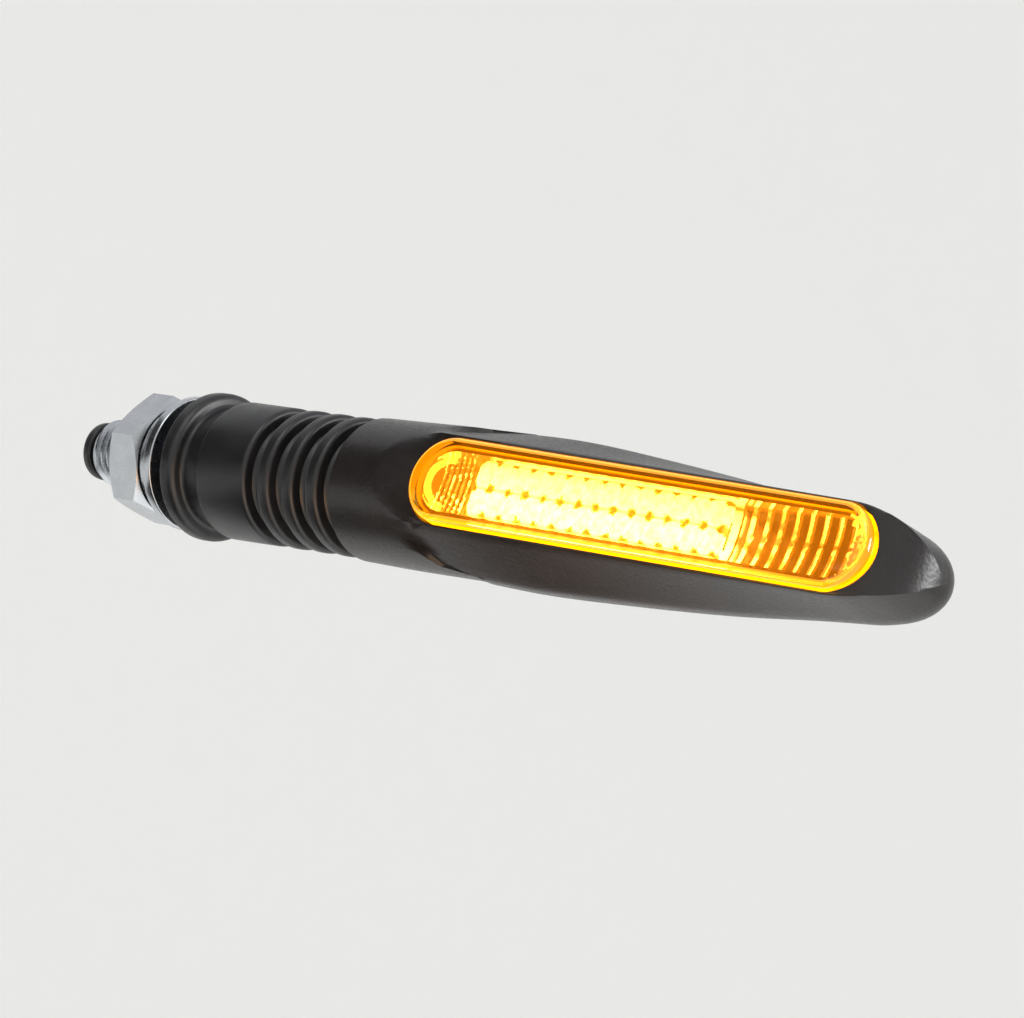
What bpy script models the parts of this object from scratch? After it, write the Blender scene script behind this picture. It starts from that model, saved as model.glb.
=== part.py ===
"""LED turn signal indicator on a ringed rubber stem.

The frame: +X runs outward along the stem, the lens faces -Y, +Z is up, and the origin is the
centre of the face that seats on the bracket. The stud points along -X. Lengths are in metres.
"""
import math

import bmesh
import bpy
from mathutils import Matrix, Vector

MM = 0.001
GAP = 0.3 * MM                      # clearance between neighbouring solids

# Stem: a base on the bracket, then rings with bending grooves between them
FLANGE_RADIUS = 11.0 * MM
FLANGE_THICKNESS = 2.6 * MM
WAIST_RADIUS = 9.0 * MM
WAIST_LENGTH = 4.2 * MM
STEM_RADIUS = 10.2 * MM
BASE_LENGTH = 17.1 * MM             # seating face to the first groove
GROOVE_WIDTH = 2.5 * MM
RING_WIDTH = 2.5 * MM
RING_COUNT = 3
WEB_RADIUS = 7.8 * MM
WIRE_CHANNEL_RADIUS = 2.5 * MM
RUBBER_EDGE = 0.5 * MM

# Hollow stud with its collar bonded in the base, and what clamps it to the bracket
STUD_RADIUS = 5.0 * MM
STUD_BORE_RADIUS = 3.0 * MM
STUD_LENGTH = 22.0 * MM
COLLAR_RADIUS = 7.0 * MM
COLLAR_THICKNESS = 2.4 * MM
COLLAR_DEPTH = 2.4 * MM             # seating face to the collar
BRACKET_THICKNESS = 3.0 * MM
WASHER_RADIUS = 10.0 * MM
WASHER_THICKNESS = 1.6 * MM
LOCK_WASHER_RADIUS = 8.4 * MM
LOCK_WASHER_THICKNESS = 2.2 * MM
LOCK_WASHER_SPLIT = 1.2 * MM
NUT_ACROSS_FLATS = 17.0 * MM
NUT_THICKNESS = 6.0 * MM
GROMMET_HEAD_RADIUS = 4.4 * MM
GROMMET_HEAD_THICKNESS = 1.8 * MM
GROMMET_PLUG_LENGTH = 7.0 * MM
GROMMET_HOLE_RADIUS = 1.6 * MM

# Neck: the stem's plug and the clip that keeps it in the housing
PLUG_RADIUS = 8.0 * MM
PLUG_LENGTH = 13.6 * MM
PLUG_GROOVE_RADIUS = 6.3 * MM
PLUG_GROOVE_WIDTH = 1.4 * MM
PLUG_END_THICKNESS = 1.2 * MM
CLIP_THICKNESS = 0.8 * MM
CLIP_RADIUS = 8.8 * MM
CLIP_MOUTH = 7.0 * MM

# Lamp head: a blade turned slightly backward from the stem's axis
HEAD_LENGTH = 139.5 * MM            # seating face to the tip
NECK_LENGTH = 11.4 * MM             # neck's start to the bend's start
BEND_LENGTH = 8.0 * MM
SWEEP = math.radians(4.0)
FRONT_DEPTH = 9.3 * MM              # head axis to the flat that carries the lens
FRONT_HALF_HEIGHT = 7.0 * MM
FRONT_EDGE_DROP = 0.3 * MM          # the front flat is at least this much lower than the ridge
FRONT_RAMP = 4.5 * MM               # the neck slopes down to the front flat over this length
CORNER_RAMP = 3.0 * MM              # and to the flat's edges over this one
FACET_LIP = 0.25 * MM               # the neck drops to the facets over twice this length
NOSE_LENGTH = 11.5 * MM
NOSE_FULLNESS = 2.2                 # 2 is an ellipse, more is blunter
WALL = 1.8 * MM
FACET_OFFSET = 5.6 * MM             # bend's start to where the facets begin at the front flat
FACET_RUN = 10.0 * MM               # how much later they begin at the ridge
FACET_CORNER = 2.5                  # exponent of the rounded corner in which they begin

# Half height, ridge depth and back depth (mm) of the blade at each share of the way from the
# bend's start to the nose
BLADE_STATIONS = (
    (-0.139, 10.5, 0.0, 10.5),
    (0.0, 10.75, 0.0, 10.7),
    (0.171, 11.2, -1.6, 10.7),
    (0.317, 11.45, -1.8, 10.3),
    (0.488, 10.85, -1.4, 9.8),
    (0.707, 9.6, -0.8, 9.2),
    (0.902, 7.9, -0.4, 8.2),
    (1.049, 6.9, -0.2, 7.4),
)

# Lens and what lies behind it, as depths from the front flat into the head
LENS_HALF_HEIGHT = 6.43 * MM
LENS_START = -0.1 * MM              # along the head axis from where it leaves the stem's axis
LENS_TIP_MARGIN = 6.6 * MM          # lens's end to the tip
LENS_PROUD = 1.5 * MM
LENS_FACE_THICKNESS = 2.2 * MM
LENS_SKIRT_DEPTH = 3.0 * MM
LENS_SKIRT_WALL = 1.1 * MM
LENS_EDGE = 1.1 * MM
GASKET_THICKNESS = 0.6 * MM
LEDGE_WIDTH = 1.1 * MM
LEDGE_THICKNESS = 1.2 * MM

OPTIC_THICKNESS = 1.9 * MM
NECK_RAMP_LENGTH = 10.7 * MM        # lens's end to the optic, on the neck's side
TIP_RAMP_LENGTH = 27.0 * MM         # optic to the lens's end, on the tip's side
REFLECTOR_WALL = 0.65 * MM
REFLECTOR_FLOOR = 0.6 * MM
FLUTE_COUNT = 6
FLUTE_BASE = 0.9 * MM               # the flutes stand this high over the tray's floor
FLUTE_LIP = 1.4                     # height of a flute's crest, in steps of the ramp
BOARD_THICKNESS = 1.6 * MM
BOARD_SIDE_GAP = 0.35 * MM
LED_COUNT = 7
LED_FILL = 0.54                     # length of an LED in LED pitches
LED_THICKNESS = 1.4 * MM
LED_HEIGHT = 2.8 * MM
BOSS_RADIUS = 2.3 * MM
SCREW_RADIUS = 1.0 * MM
SCREW_HEAD_RADIUS = 1.9 * MM
SCREW_HEAD_HEIGHT = 1.1 * MM
SCREW_LENGTH = 5.0 * MM
SCREW_INSET = 4.6 * MM              # board end to the screw's axis
LEAD_RADIUS = 0.7 * MM
LEAD_CHANNEL_OFFSET = 1.1 * MM
LEAD_BOARD_OFFSET = 3.5 * MM
LEAD_REACH = 9.5 * MM               # length of a lead along the board

ROUND_STEPS = 40
FINE_STEPS = 24

# Places along the stem that follow from the sizes above
SLOT_PITCH = GROOVE_WIDTH + RING_WIDTH
NECK_START = BASE_LENGTH + RING_COUNT * SLOT_PITCH + GROOVE_WIDTH
PLUG_END = NECK_START + PLUG_LENGTH
PLUG_GROOVE_START = PLUG_END - PLUG_END_THICKNESS - PLUG_GROOVE_WIDTH
CHAMBER_START = PLUG_GROOVE_START + 0.5 * (PLUG_GROOVE_WIDTH - CLIP_THICKNESS) - GAP
CHAMBER_END = PLUG_END + GAP
BEND_START = NECK_START + NECK_LENGTH
BEND_END = BEND_START + BEND_LENGTH
HEAD_ORIGIN = 0.5 * (BEND_START + BEND_END)
FACET_START = BEND_START + FACET_OFFSET
NOSE_START = HEAD_LENGTH - NOSE_LENGTH

# Depths from the front flat, outer face first
GASKET_DEPTH = LENS_SKIRT_DEPTH + GAP
LEDGE_DEPTH = GASKET_DEPTH + GASKET_THICKNESS + GAP
CAVITY_DEPTH = LEDGE_DEPTH + LEDGE_THICKNESS
LENS_INNER_DEPTH = LENS_FACE_THICKNESS - LENS_PROUD
REFLECTOR_DEPTH = LENS_INNER_DEPTH + GAP
BOARD_DEPTH = CAVITY_DEPTH + GAP
REFLECTOR_END_DEPTH = BOARD_DEPTH - GAP
OPTIC_DEPTH = REFLECTOR_DEPTH + GAP
LED_DEPTH = BOARD_DEPTH - GAP - LED_THICKNESS
BOARD_BACK = BOARD_DEPTH + BOARD_THICKNESS
BOSS_DEPTH = BOARD_BACK + GAP

LENS_LENGTH = (HEAD_LENGTH - HEAD_ORIGIN) / math.cos(SWEEP) - LENS_START - LENS_TIP_MARGIN
LENS_CENTRE = LENS_START + 0.5 * LENS_LENGTH
OPTIC_LENGTH = LENS_LENGTH - NECK_RAMP_LENGTH - TIP_RAMP_LENGTH
OPTIC_OFFSET = 0.5 * (NECK_RAMP_LENGTH - TIP_RAMP_LENGTH)   # its centre from the lens's centre
LED_PITCH = OPTIC_LENGTH / LED_COUNT
LED_SIZE = (LED_FILL * LED_PITCH, LED_THICKNESS, LED_HEIGHT)
LEDGE_HALF_HEIGHT = LENS_HALF_HEIGHT - LEDGE_WIDTH
REFLECTOR_HALF_HEIGHT = LEDGE_HALF_HEIGHT - GAP
OPTIC_HALF_HEIGHT = REFLECTOR_HALF_HEIGHT - REFLECTOR_WALL - GAP
BOARD_HALF_HEIGHT = LEDGE_HALF_HEIGHT - BOARD_SIDE_GAP
LENS_STRAIGHT = LENS_LENGTH - 2 * LENS_HALF_HEIGHT      # between the centres of its round ends
CAVITY_END = HEAD_ORIGIN + (LENS_CENTRE + 0.5 * LENS_STRAIGHT + LENS_HALF_HEIGHT) * math.cos(SWEEP)
SCREW_OFFSET = 0.5 * LENS_STRAIGHT + BOARD_HALF_HEIGHT - SCREW_INSET
COMPONENTS_START = LEAD_REACH + 4.2 * MM - 0.5 * LENS_STRAIGHT - BOARD_HALF_HEIGHT + BOSS_RADIUS
COMPONENTS_END = SCREW_OFFSET - BOSS_RADIUS - 3 * MM

PARTS = "turn_signal_indicator"
CUTTERS = "cutters"
FINISHES = {
    "rubber": ((0.022, 0.022, 0.024), 0.55, 0.0),
    "housing_plastic": ((0.045, 0.043, 0.043), 0.42, 0.0),
    "amber_lens": ((1.0, 0.36, 0.01), 0.08, 0.0),
    "clear_optic": ((0.95, 0.9, 0.75), 0.05, 0.0),
    "bright_reflector": ((0.85, 0.85, 0.85), 0.12, 1.0),
    "zinc_steel": ((0.6, 0.6, 0.62), 0.3, 1.0),
    "board_laminate": ((0.03, 0.13, 0.06), 0.5, 0.0),
    "led_package": ((0.9, 0.85, 0.6), 0.4, 0.0),
    "component_black": ((0.02, 0.02, 0.02), 0.45, 0.0),
    "component_tan": ((0.55, 0.33, 0.1), 0.45, 0.0),
    "lead_black": ((0.015, 0.015, 0.015), 0.5, 0.0),
    "lead_amber": ((0.8, 0.3, 0.02), 0.5, 0.0),
}


# ---------------------------------------------------------------- scene helpers

def clear_scene():
    """Removes every object, then makes the two collections."""
    for thing in list(bpy.data.objects):
        bpy.data.objects.remove(thing, do_unlink=True)
    for name in (PARTS, CUTTERS):
        if name not in bpy.data.collections:
            bpy.context.scene.collection.children.link(bpy.data.collections.new(name))


def finish(name):
    """Returns the Principled material of a finish, made once."""
    if name in bpy.data.materials:
        return bpy.data.materials[name]
    colour, roughness, metallic = FINISHES[name]
    material = bpy.data.materials.new(name)
    material.use_nodes = True
    shader = material.node_tree.nodes["Principled BSDF"]
    shader.inputs["Base Color"].default_value = (*colour, 1.0)
    shader.inputs["Roughness"].default_value = roughness
    shader.inputs["Metallic"].default_value = metallic
    return material


def add_part(name, mesh, material, parent=None, matrix=None):
    """Makes a named part from a mesh, with its origin at the parent's or at the given place."""
    part = bpy.data.objects.new(name, mesh)
    bpy.data.collections[PARTS].objects.link(part)
    mesh.materials.clear()
    mesh.materials.append(finish(material))
    part.parent = parent
    if matrix is not None:
        part.matrix_basis = matrix
    return part


def add_cutter(name, mesh, parent=None, matrix=None):
    """Makes a cutter, which is drawn as wire and left out of the model."""
    cutter = bpy.data.objects.new(name, mesh)
    bpy.data.collections[CUTTERS].objects.link(cutter)
    cutter.hide_render = True
    cutter.display_type = "WIRE"
    cutter.parent = parent
    if matrix is not None:
        cutter.matrix_basis = matrix
    return cutter


def boolean(target, tool, operation="DIFFERENCE"):
    """Cuts, joins or intersects the target with the tool."""
    modifier = target.modifiers.new(operation.lower(), "BOOLEAN")
    modifier.operation = operation
    modifier.solver = "EXACT"
    modifier.object = tool


def pivot(name, location, parent=None, turn=0.0):
    """An empty that marks a joint's axis or a sub-assembly's frame, in world coordinates."""
    empty = bpy.data.objects.new(name, None)
    empty.empty_display_size = 5 * MM
    bpy.data.collections[PARTS].objects.link(empty)
    place = Matrix.Translation(location) @ Matrix.Rotation(turn, 4, "Z")
    empty.parent = parent
    empty.matrix_basis = (world_of(parent).inverted() @ place) if parent else place
    return empty


def world_of(thing):
    """World matrix of an object from its chain of parents, without waiting for an update."""
    if thing.parent is None:
        return thing.matrix_basis.copy()
    return world_of(thing.parent) @ thing.matrix_basis


def in_world(parent):
    """Local matrix that leaves a child of the parent in world coordinates."""
    return world_of(parent).inverted()


# ---------------------------------------------------------------- mesh helpers

def mesh_from(bm, name, smooth_angle=None):
    """Turns a bmesh into a mesh, with outward faces and smooth round sides."""
    bmesh.ops.recalc_face_normals(bm, faces=bm.faces[:])
    if bm.calc_volume(signed=True) < 0:
        bmesh.ops.reverse_faces(bm, faces=bm.faces[:])
    mesh = bpy.data.meshes.new(name)
    bm.to_mesh(mesh)
    bm.free()
    if smooth_angle is not None:
        mesh.shade_smooth()
        mesh.set_sharp_from_angle(angle=math.radians(smooth_angle))
    return mesh


def profile_mesh(name, profile):
    """A closed outline of (place along the axis, radius) as edges for a Screw modifier."""
    bm = bmesh.new()
    verts = [bm.verts.new((radius, 0.0, place)) for place, radius in profile]
    for first, second in zip(verts, verts[1:] + verts[:1]):
        bm.edges.new((first, second))
    mesh = bpy.data.meshes.new(name)
    bm.to_mesh(mesh)
    bm.free()
    return mesh


def add_screw(thing, steps):
    """Turns an outline about its own Z axis into a closed body."""
    modifier = thing.modifiers.new("turned", "SCREW")
    modifier.axis = "Z"
    modifier.angle = math.tau
    modifier.steps = steps
    modifier.render_steps = steps
    modifier.use_merge_vertices = True
    modifier.merge_threshold = 0.00001
    modifier.use_smooth_shade = True


def along_x():
    """Rotation that lays a body turned about Z along the X axis."""
    return Matrix.Rotation(math.radians(90.0), 4, "Y")


def turned_ring(name, outer, bore, material, parent, steps=ROUND_STEPS):
    """A body turned about the X axis from its outer side and its bore.

    Both are lists of (place, radius) that run from the largest place to the smallest.
    """
    outline = outer + bore[::-1]
    part = add_part(name, profile_mesh(name, outline), material, parent,
                    in_world(parent) @ along_x() if parent else along_x())
    add_screw(part, steps)
    return part


def rounded_side(start, end, radius, edge=RUBBER_EDGE):
    """Outer side of a disc from its far end to its near end, with chamfered rims."""
    return [(end, radius - edge), (end - edge, radius), (start + edge, radius), (start, radius - edge)]


def cylinder_mesh(name, radius, length, steps=FINE_STEPS):
    """A cylinder along +Z that starts at its origin."""
    bm = bmesh.new()
    bmesh.ops.create_cone(bm, cap_ends=True, segments=steps, radius1=radius, radius2=radius,
                          depth=length, matrix=Matrix.Translation((0, 0, 0.5 * length)))
    return mesh_from(bm, name, 40)


def box_mesh(name, size, bevel=0.0, centre=(0, 0, 0)):
    """A box, with its edges rounded by one bevel where one is given."""
    bm = bmesh.new()
    bmesh.ops.create_cube(bm, size=1.0)
    bmesh.ops.scale(bm, vec=size, verts=bm.verts[:])
    bmesh.ops.translate(bm, vec=centre, verts=bm.verts[:])
    if bevel:
        bmesh.ops.bevel(bm, geom=bm.edges[:], offset=bevel, segments=1, affect="EDGES",
                        profile=0.5, material=-1)
    return mesh_from(bm, name)


def stadium_points(half_height, straight, steps=12):
    """Outline of a bar with round ends, centred, as (along, up) points."""
    points = []
    for side in (1, -1):
        for step in range(steps + 1):
            turn = math.pi * step / steps - 0.5 * math.pi
            points.append((side * (0.5 * straight + half_height * math.cos(turn)),
                           side * half_height * math.sin(turn)))
    return points


def plate_mesh(name, outline, near, far, hole=None):
    """A flat plate between two depths (along +Y) from an outline in X and Z."""
    curve = bpy.data.curves.new(name, "CURVE")
    curve.dimensions = "2D"
    curve.fill_mode = "BOTH"
    curve.extrude = 0.5 * (far - near)
    for points in (outline, hole):
        if points is None:
            continue
        spline = curve.splines.new("POLY")
        spline.points.add(len(points) - 1)
        for point, (along, up) in zip(spline.points, points):
            point.co = (along, up, 0.0, 1.0)
        spline.use_cyclic_u = True
    flat = bpy.data.objects.new(name + "_outline", curve)
    bpy.data.collections[CUTTERS].objects.link(flat)
    bpy.context.view_layer.update()
    mesh = bpy.data.meshes.new_from_object(flat.evaluated_get(bpy.context.evaluated_depsgraph_get()))
    bpy.data.objects.remove(flat)
    bm = bmesh.new()
    bm.from_mesh(mesh)
    bmesh.ops.remove_doubles(bm, verts=bm.verts[:], dist=0.000001)
    if hole is None:
        bmesh.ops.dissolve_limit(bm, angle_limit=0.01, verts=bm.verts[:], edges=bm.edges[:])
    upright = Matrix.Translation((0, 0.5 * (near + far), 0)) @ Matrix.Rotation(math.radians(90.0), 4, "X")
    bmesh.ops.transform(bm, matrix=upright, verts=bm.verts[:])
    bpy.data.meshes.remove(mesh)
    return mesh_from(bm, name, 40)


def stadium_plate(name, half_height, near, far, hole_half_height=None):
    """A plate shaped like the lens, larger or smaller all round, with a hole of the same kind."""
    hole = stadium_points(hole_half_height, LENS_STRAIGHT) if hole_half_height else None
    return plate_mesh(name, stadium_points(half_height, LENS_STRAIGHT), near, far, hole)


# ---------------------------------------------------------------- stem and its fixing

def stem_base(parent):
    """Rubber base: flange, waist and cylinder, moulded round the stud's collar."""
    waist_end = FLANGE_THICKNESS + WAIST_LENGTH
    outer = rounded_side(waist_end, BASE_LENGTH, STEM_RADIUS)
    outer += [(waist_end, WAIST_RADIUS), (FLANGE_THICKNESS, WAIST_RADIUS)]
    outer += rounded_side(0.0, FLANGE_THICKNESS, FLANGE_RADIUS)
    pocket_start = COLLAR_DEPTH - GAP
    pocket_end = COLLAR_DEPTH + COLLAR_THICKNESS + GAP
    bore = [(BASE_LENGTH, WIRE_CHANNEL_RADIUS), (pocket_end, WIRE_CHANNEL_RADIUS),
            (pocket_end, COLLAR_RADIUS + GAP), (pocket_start, COLLAR_RADIUS + GAP),
            (pocket_start, STUD_RADIUS + GAP), (0.0, STUD_RADIUS + GAP)]
    return turned_ring("stem_base", outer, bore, "rubber", parent)


def threaded_stud(parent):
    """Hollow stud with a round collar, chamfered at its free end."""
    collar_end = COLLAR_DEPTH + COLLAR_THICKNESS
    chamfer = 0.8 * MM
    outer = [(collar_end, COLLAR_RADIUS), (COLLAR_DEPTH, COLLAR_RADIUS), (COLLAR_DEPTH, STUD_RADIUS),
             (chamfer - STUD_LENGTH, STUD_RADIUS), (-STUD_LENGTH, STUD_RADIUS - chamfer)]
    bore = [(collar_end, STUD_BORE_RADIUS), (-STUD_LENGTH, STUD_BORE_RADIUS)]
    return turned_ring("threaded_stud", outer, bore, "zinc_steel", parent, FINE_STEPS)


def wire_grommet(parent):
    """Rubber plug in the stud's mouth, with the hole that the leads come out of."""
    head_start = -STUD_LENGTH - GAP
    plug_radius = STUD_BORE_RADIUS - GAP
    outer = [(head_start + GROMMET_PLUG_LENGTH, plug_radius), (head_start, plug_radius),
             (head_start, GROMMET_HEAD_RADIUS),
             (head_start - GROMMET_HEAD_THICKNESS, GROMMET_HEAD_RADIUS - RUBBER_EDGE)]
    bore = [(head_start + GROMMET_PLUG_LENGTH, GROMMET_HOLE_RADIUS),
            (head_start - GROMMET_HEAD_THICKNESS, GROMMET_HOLE_RADIUS)]
    return turned_ring("wire_grommet", outer, bore, "rubber", parent, FINE_STEPS)


def clamp_washers(parent):
    """Flat washer and split lock washer behind the bracket; returns where the nut starts."""
    bore_radius = STUD_RADIUS + GAP
    near = -BRACKET_THICKNESS
    far = near - WASHER_THICKNESS
    turned_ring("flat_washer", rounded_side(far, near, WASHER_RADIUS, 0.2 * MM),
                [(near, bore_radius), (far, bore_radius)], "zinc_steel", parent, FINE_STEPS)
    near = far - GAP
    far = near - LOCK_WASHER_THICKNESS
    lock = turned_ring("lock_washer", rounded_side(far, near, LOCK_WASHER_RADIUS, 0.2 * MM),
                       [(near, bore_radius), (far, bore_radius)], "zinc_steel", parent, FINE_STEPS)
    split_size = (3 * LOCK_WASHER_THICKNESS, LOCK_WASHER_SPLIT, LOCK_WASHER_RADIUS)
    split = add_cutter("lock_washer_split", box_mesh("lock_washer_split", split_size),
                       parent, in_world(parent) @ Matrix.Translation(
                           (0.5 * (near + far), 0.0, 0.5 * (bore_radius + LOCK_WASHER_RADIUS) + MM)))
    boolean(lock, split)
    return far - GAP


def clamp_nut(parent, start):
    """Hexagonal nut on the stud; its faces are chamfered by a turned cutter."""
    corner_radius = NUT_ACROSS_FLATS / math.sqrt(3)
    lay = in_world(parent) @ Matrix.Translation((start - NUT_THICKNESS, 0, 0)) @ along_x()
    nut = add_part("hex_nut", cylinder_mesh("hex_nut", corner_radius, NUT_THICKNESS, 6),
                   "zinc_steel", parent, lay)
    chamfer = 0.09 * NUT_ACROSS_FLATS
    inner = 0.5 * NUT_ACROSS_FLATS - 0.1 * MM
    blank_outline = [(NUT_THICKNESS + GAP, inner - 0.3 * MM), (NUT_THICKNESS - 0.5 * chamfer, inner + chamfer),
                     (0.5 * chamfer, inner + chamfer), (-GAP, inner - 0.3 * MM)]
    blank_outline += [(-GAP, STUD_RADIUS + GAP), (NUT_THICKNESS + GAP, STUD_RADIUS + GAP)]
    blank = add_cutter("nut_blank", profile_mesh("nut_blank", blank_outline), parent, lay)
    add_screw(blank, FINE_STEPS)
    boolean(nut, blank, "INTERSECT")
    return nut


def stem_ring(number, parent):
    """One rubber ring of the bending stem."""
    start = BASE_LENGTH + GROOVE_WIDTH + (number - 1) * SLOT_PITCH
    end = start + RING_WIDTH
    return turned_ring(f"stem_ring_{number}", rounded_side(start, end, STEM_RADIUS),
                       [(end, WIRE_CHANNEL_RADIUS), (start, WIRE_CHANNEL_RADIUS)], "rubber", parent)


def stem_web(number, parent):
    """The thinner rubber core that bends in one groove."""
    start = BASE_LENGTH + (number - 1) * SLOT_PITCH + GAP
    end = start + GROOVE_WIDTH - 2 * GAP
    return turned_ring(f"stem_web_{number}", [(end, WEB_RADIUS), (start, WEB_RADIUS)],
                       [(end, WIRE_CHANNEL_RADIUS), (start, WIRE_CHANNEL_RADIUS)],
                       "rubber", parent, FINE_STEPS)


def stem_plug(parent):
    """Rubber plug at the stem's outer end, with a groove for the clip."""
    groove_end = PLUG_GROOVE_START + PLUG_GROOVE_WIDTH
    outer = [(PLUG_END, PLUG_RADIUS), (groove_end, PLUG_RADIUS), (groove_end, PLUG_GROOVE_RADIUS),
             (PLUG_GROOVE_START, PLUG_GROOVE_RADIUS), (PLUG_GROOVE_START, PLUG_RADIUS),
             (NECK_START, PLUG_RADIUS)]
    bore = [(PLUG_END, WIRE_CHANNEL_RADIUS), (NECK_START, WIRE_CHANNEL_RADIUS)]
    return turned_ring("stem_plug", outer, bore, "rubber", parent)


def stem_clip(parent):
    """Steel clip, open on one side, that holds the plug in the neck."""
    start = PLUG_GROOVE_START + 0.5 * (PLUG_GROOVE_WIDTH - CLIP_THICKNESS)
    end = start + CLIP_THICKNESS
    inner = PLUG_GROOVE_RADIUS + GAP
    clip = turned_ring("stem_clip", [(end, CLIP_RADIUS), (start, CLIP_RADIUS)],
                       [(end, inner), (start, inner)], "zinc_steel", parent, FINE_STEPS)
    mouth = add_cutter("clip_mouth", box_mesh("clip_mouth", (3 * CLIP_THICKNESS, CLIP_RADIUS, CLIP_MOUTH)),
                       parent, in_world(parent) @ Matrix.Translation((0.5 * (start + end), CLIP_RADIUS, 0)))
    boolean(clip, mouth)
    return clip


# ---------------------------------------------------------------- housing

def blade_at(place):
    """Half height, ridge depth and back depth at a place along the stem, on a smooth curve."""
    span = NOSE_START - BEND_START
    stations = [(BEND_START + share * span, half_height * MM, ridge * MM, back * MM)
                for share, half_height, ridge, back in BLADE_STATIONS]
    place = min(max(place, stations[0][0]), stations[-1][0])
    index = max(i for i, station in enumerate(stations[:-1]) if station[0] <= place)
    before, after = stations[index], stations[index + 1]
    outer_before = stations[max(index - 1, 0)]
    outer_after = stations[min(index + 2, len(stations) - 1)]
    span = after[0] - before[0]
    share = (place - before[0]) / span
    values = []
    for column in (1, 2, 3):
        slope_in = (after[column] - outer_before[column]) / (after[0] - outer_before[0])
        slope_out = (outer_after[column] - before[column]) / (outer_after[0] - before[0])
        values.append((2 * share**3 - 3 * share**2 + 1) * before[column]
                      + (share**3 - 2 * share**2 + share) * span * slope_in
                      + (3 * share**2 - 2 * share**3) * after[column]
                      + (share**3 - share**2) * span * slope_out)
    return values


def nose_scale(place):
    """1 along the blade, falling to 0 at the tip on a full quarter ellipse."""
    share = max(0.0, (place - NOSE_START) / (HEAD_LENGTH - NOSE_START))
    return max(0.0, 1.0 - share**NOSE_FULLNESS) ** (1 / NOSE_FULLNESS)


def half_section(place, facets, inset=0.0):
    """Half of the housing's outline at a place, from the front (-Y) over the top to the back.

    Twelve steps: three on the front flat, three on the facet and six on the round back. Without
    facets the same steps lie on the neck's round outline.
    """
    half_height, ridge, back = blade_at(place)
    scale = nose_scale(place)
    front = FRONT_DEPTH
    edge = min(FRONT_HALF_HEIGHT, half_height - FRONT_EDGE_DROP)
    if not facets:
        corner = math.atan2(edge, front)
        crest = math.atan2(half_height, -ridge)
        turns = [corner * i / 3 for i in range(3)] + [corner + (crest - corner) * i / 3 for i in range(3)]
        points = [(-half_height * math.cos(turn), half_height * math.sin(turn)) for turn in turns]
        ridge = -half_height * math.cos(crest)
        half_height = half_height * math.sin(crest)
    else:
        points = [(-front, edge * i / 3) for i in range(3)]
        points += [(-front + (ridge + front) * i / 3, edge + (half_height - edge) * i / 3) for i in range(3)]
    for i in range(7):
        turn = 0.5 * math.pi * i / 6
        points.append((ridge + (back - ridge) * math.sin(turn), half_height * math.cos(turn)))
    return [inset_point(depth * scale, up * scale, inset) for depth, up in points]


def inset_point(depth, up, inset):
    """A point moved toward the section's centre by the wall's thickness."""
    reach = math.hypot(depth, up)
    if inset == 0.0 or reach < 1e-9:
        return depth, up
    return depth * (reach - inset) / reach, up * (reach - inset) / reach


def facet_start(step):
    """Where the facets begin on each of the twelve steps: later toward the ridge, in a round corner."""
    if step <= 3:
        return FACET_START - 2.6 * MM * (1 - (step / 3) ** 2)
    share = min(1.0, (step - 3) / 3)
    return FACET_START + FACET_RUN * (1 - (1 - share**FACET_CORNER) ** (1 / FACET_CORNER))


def head_point(place, depth, up):
    """World position of a section's point, with the head turned backward past the bend."""
    share = min(1.0, max(0.0, (place - BEND_START) / (BEND_END - BEND_START)))
    turn = SWEEP * share
    shift = 0.5 * math.tan(SWEEP) * share**2 * (BEND_END - BEND_START)
    shift += math.tan(SWEEP) * max(0.0, place - BEND_END)
    return Vector((place - depth * math.sin(turn), shift + depth * math.cos(turn), up))


def full_ring(half):
    """The whole outline from its upper half, mirrored in Z."""
    return half + [(depth, -up) for depth, up in half[-2:0:-1]]


def loft(name, rings, tip=None):
    """Joins rings of world points into a closed body, with a flat start and a flat or pointed end."""
    bm = bmesh.new()
    rows = [[bm.verts.new(point) for point in ring] for ring in rings]
    count = len(rows[0])
    for first, second in zip(rows, rows[1:]):
        for i in range(count):
            bm.faces.new((first[i], first[(i + 1) % count], second[(i + 1) % count], second[i]))
    bm.faces.new(rows[0])
    if tip is None:
        bm.faces.new(rows[-1])
    else:
        point = bm.verts.new(tip)
        for i in range(count):
            bm.faces.new((rows[-1][i], rows[-1][(i + 1) % count], point))
    return mesh_from(bm, name, 24)


def evenly(start, end, count):
    """Places between two ends, both included."""
    return [start + (end - start) * i / (count - 1) for i in range(count)]


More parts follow.
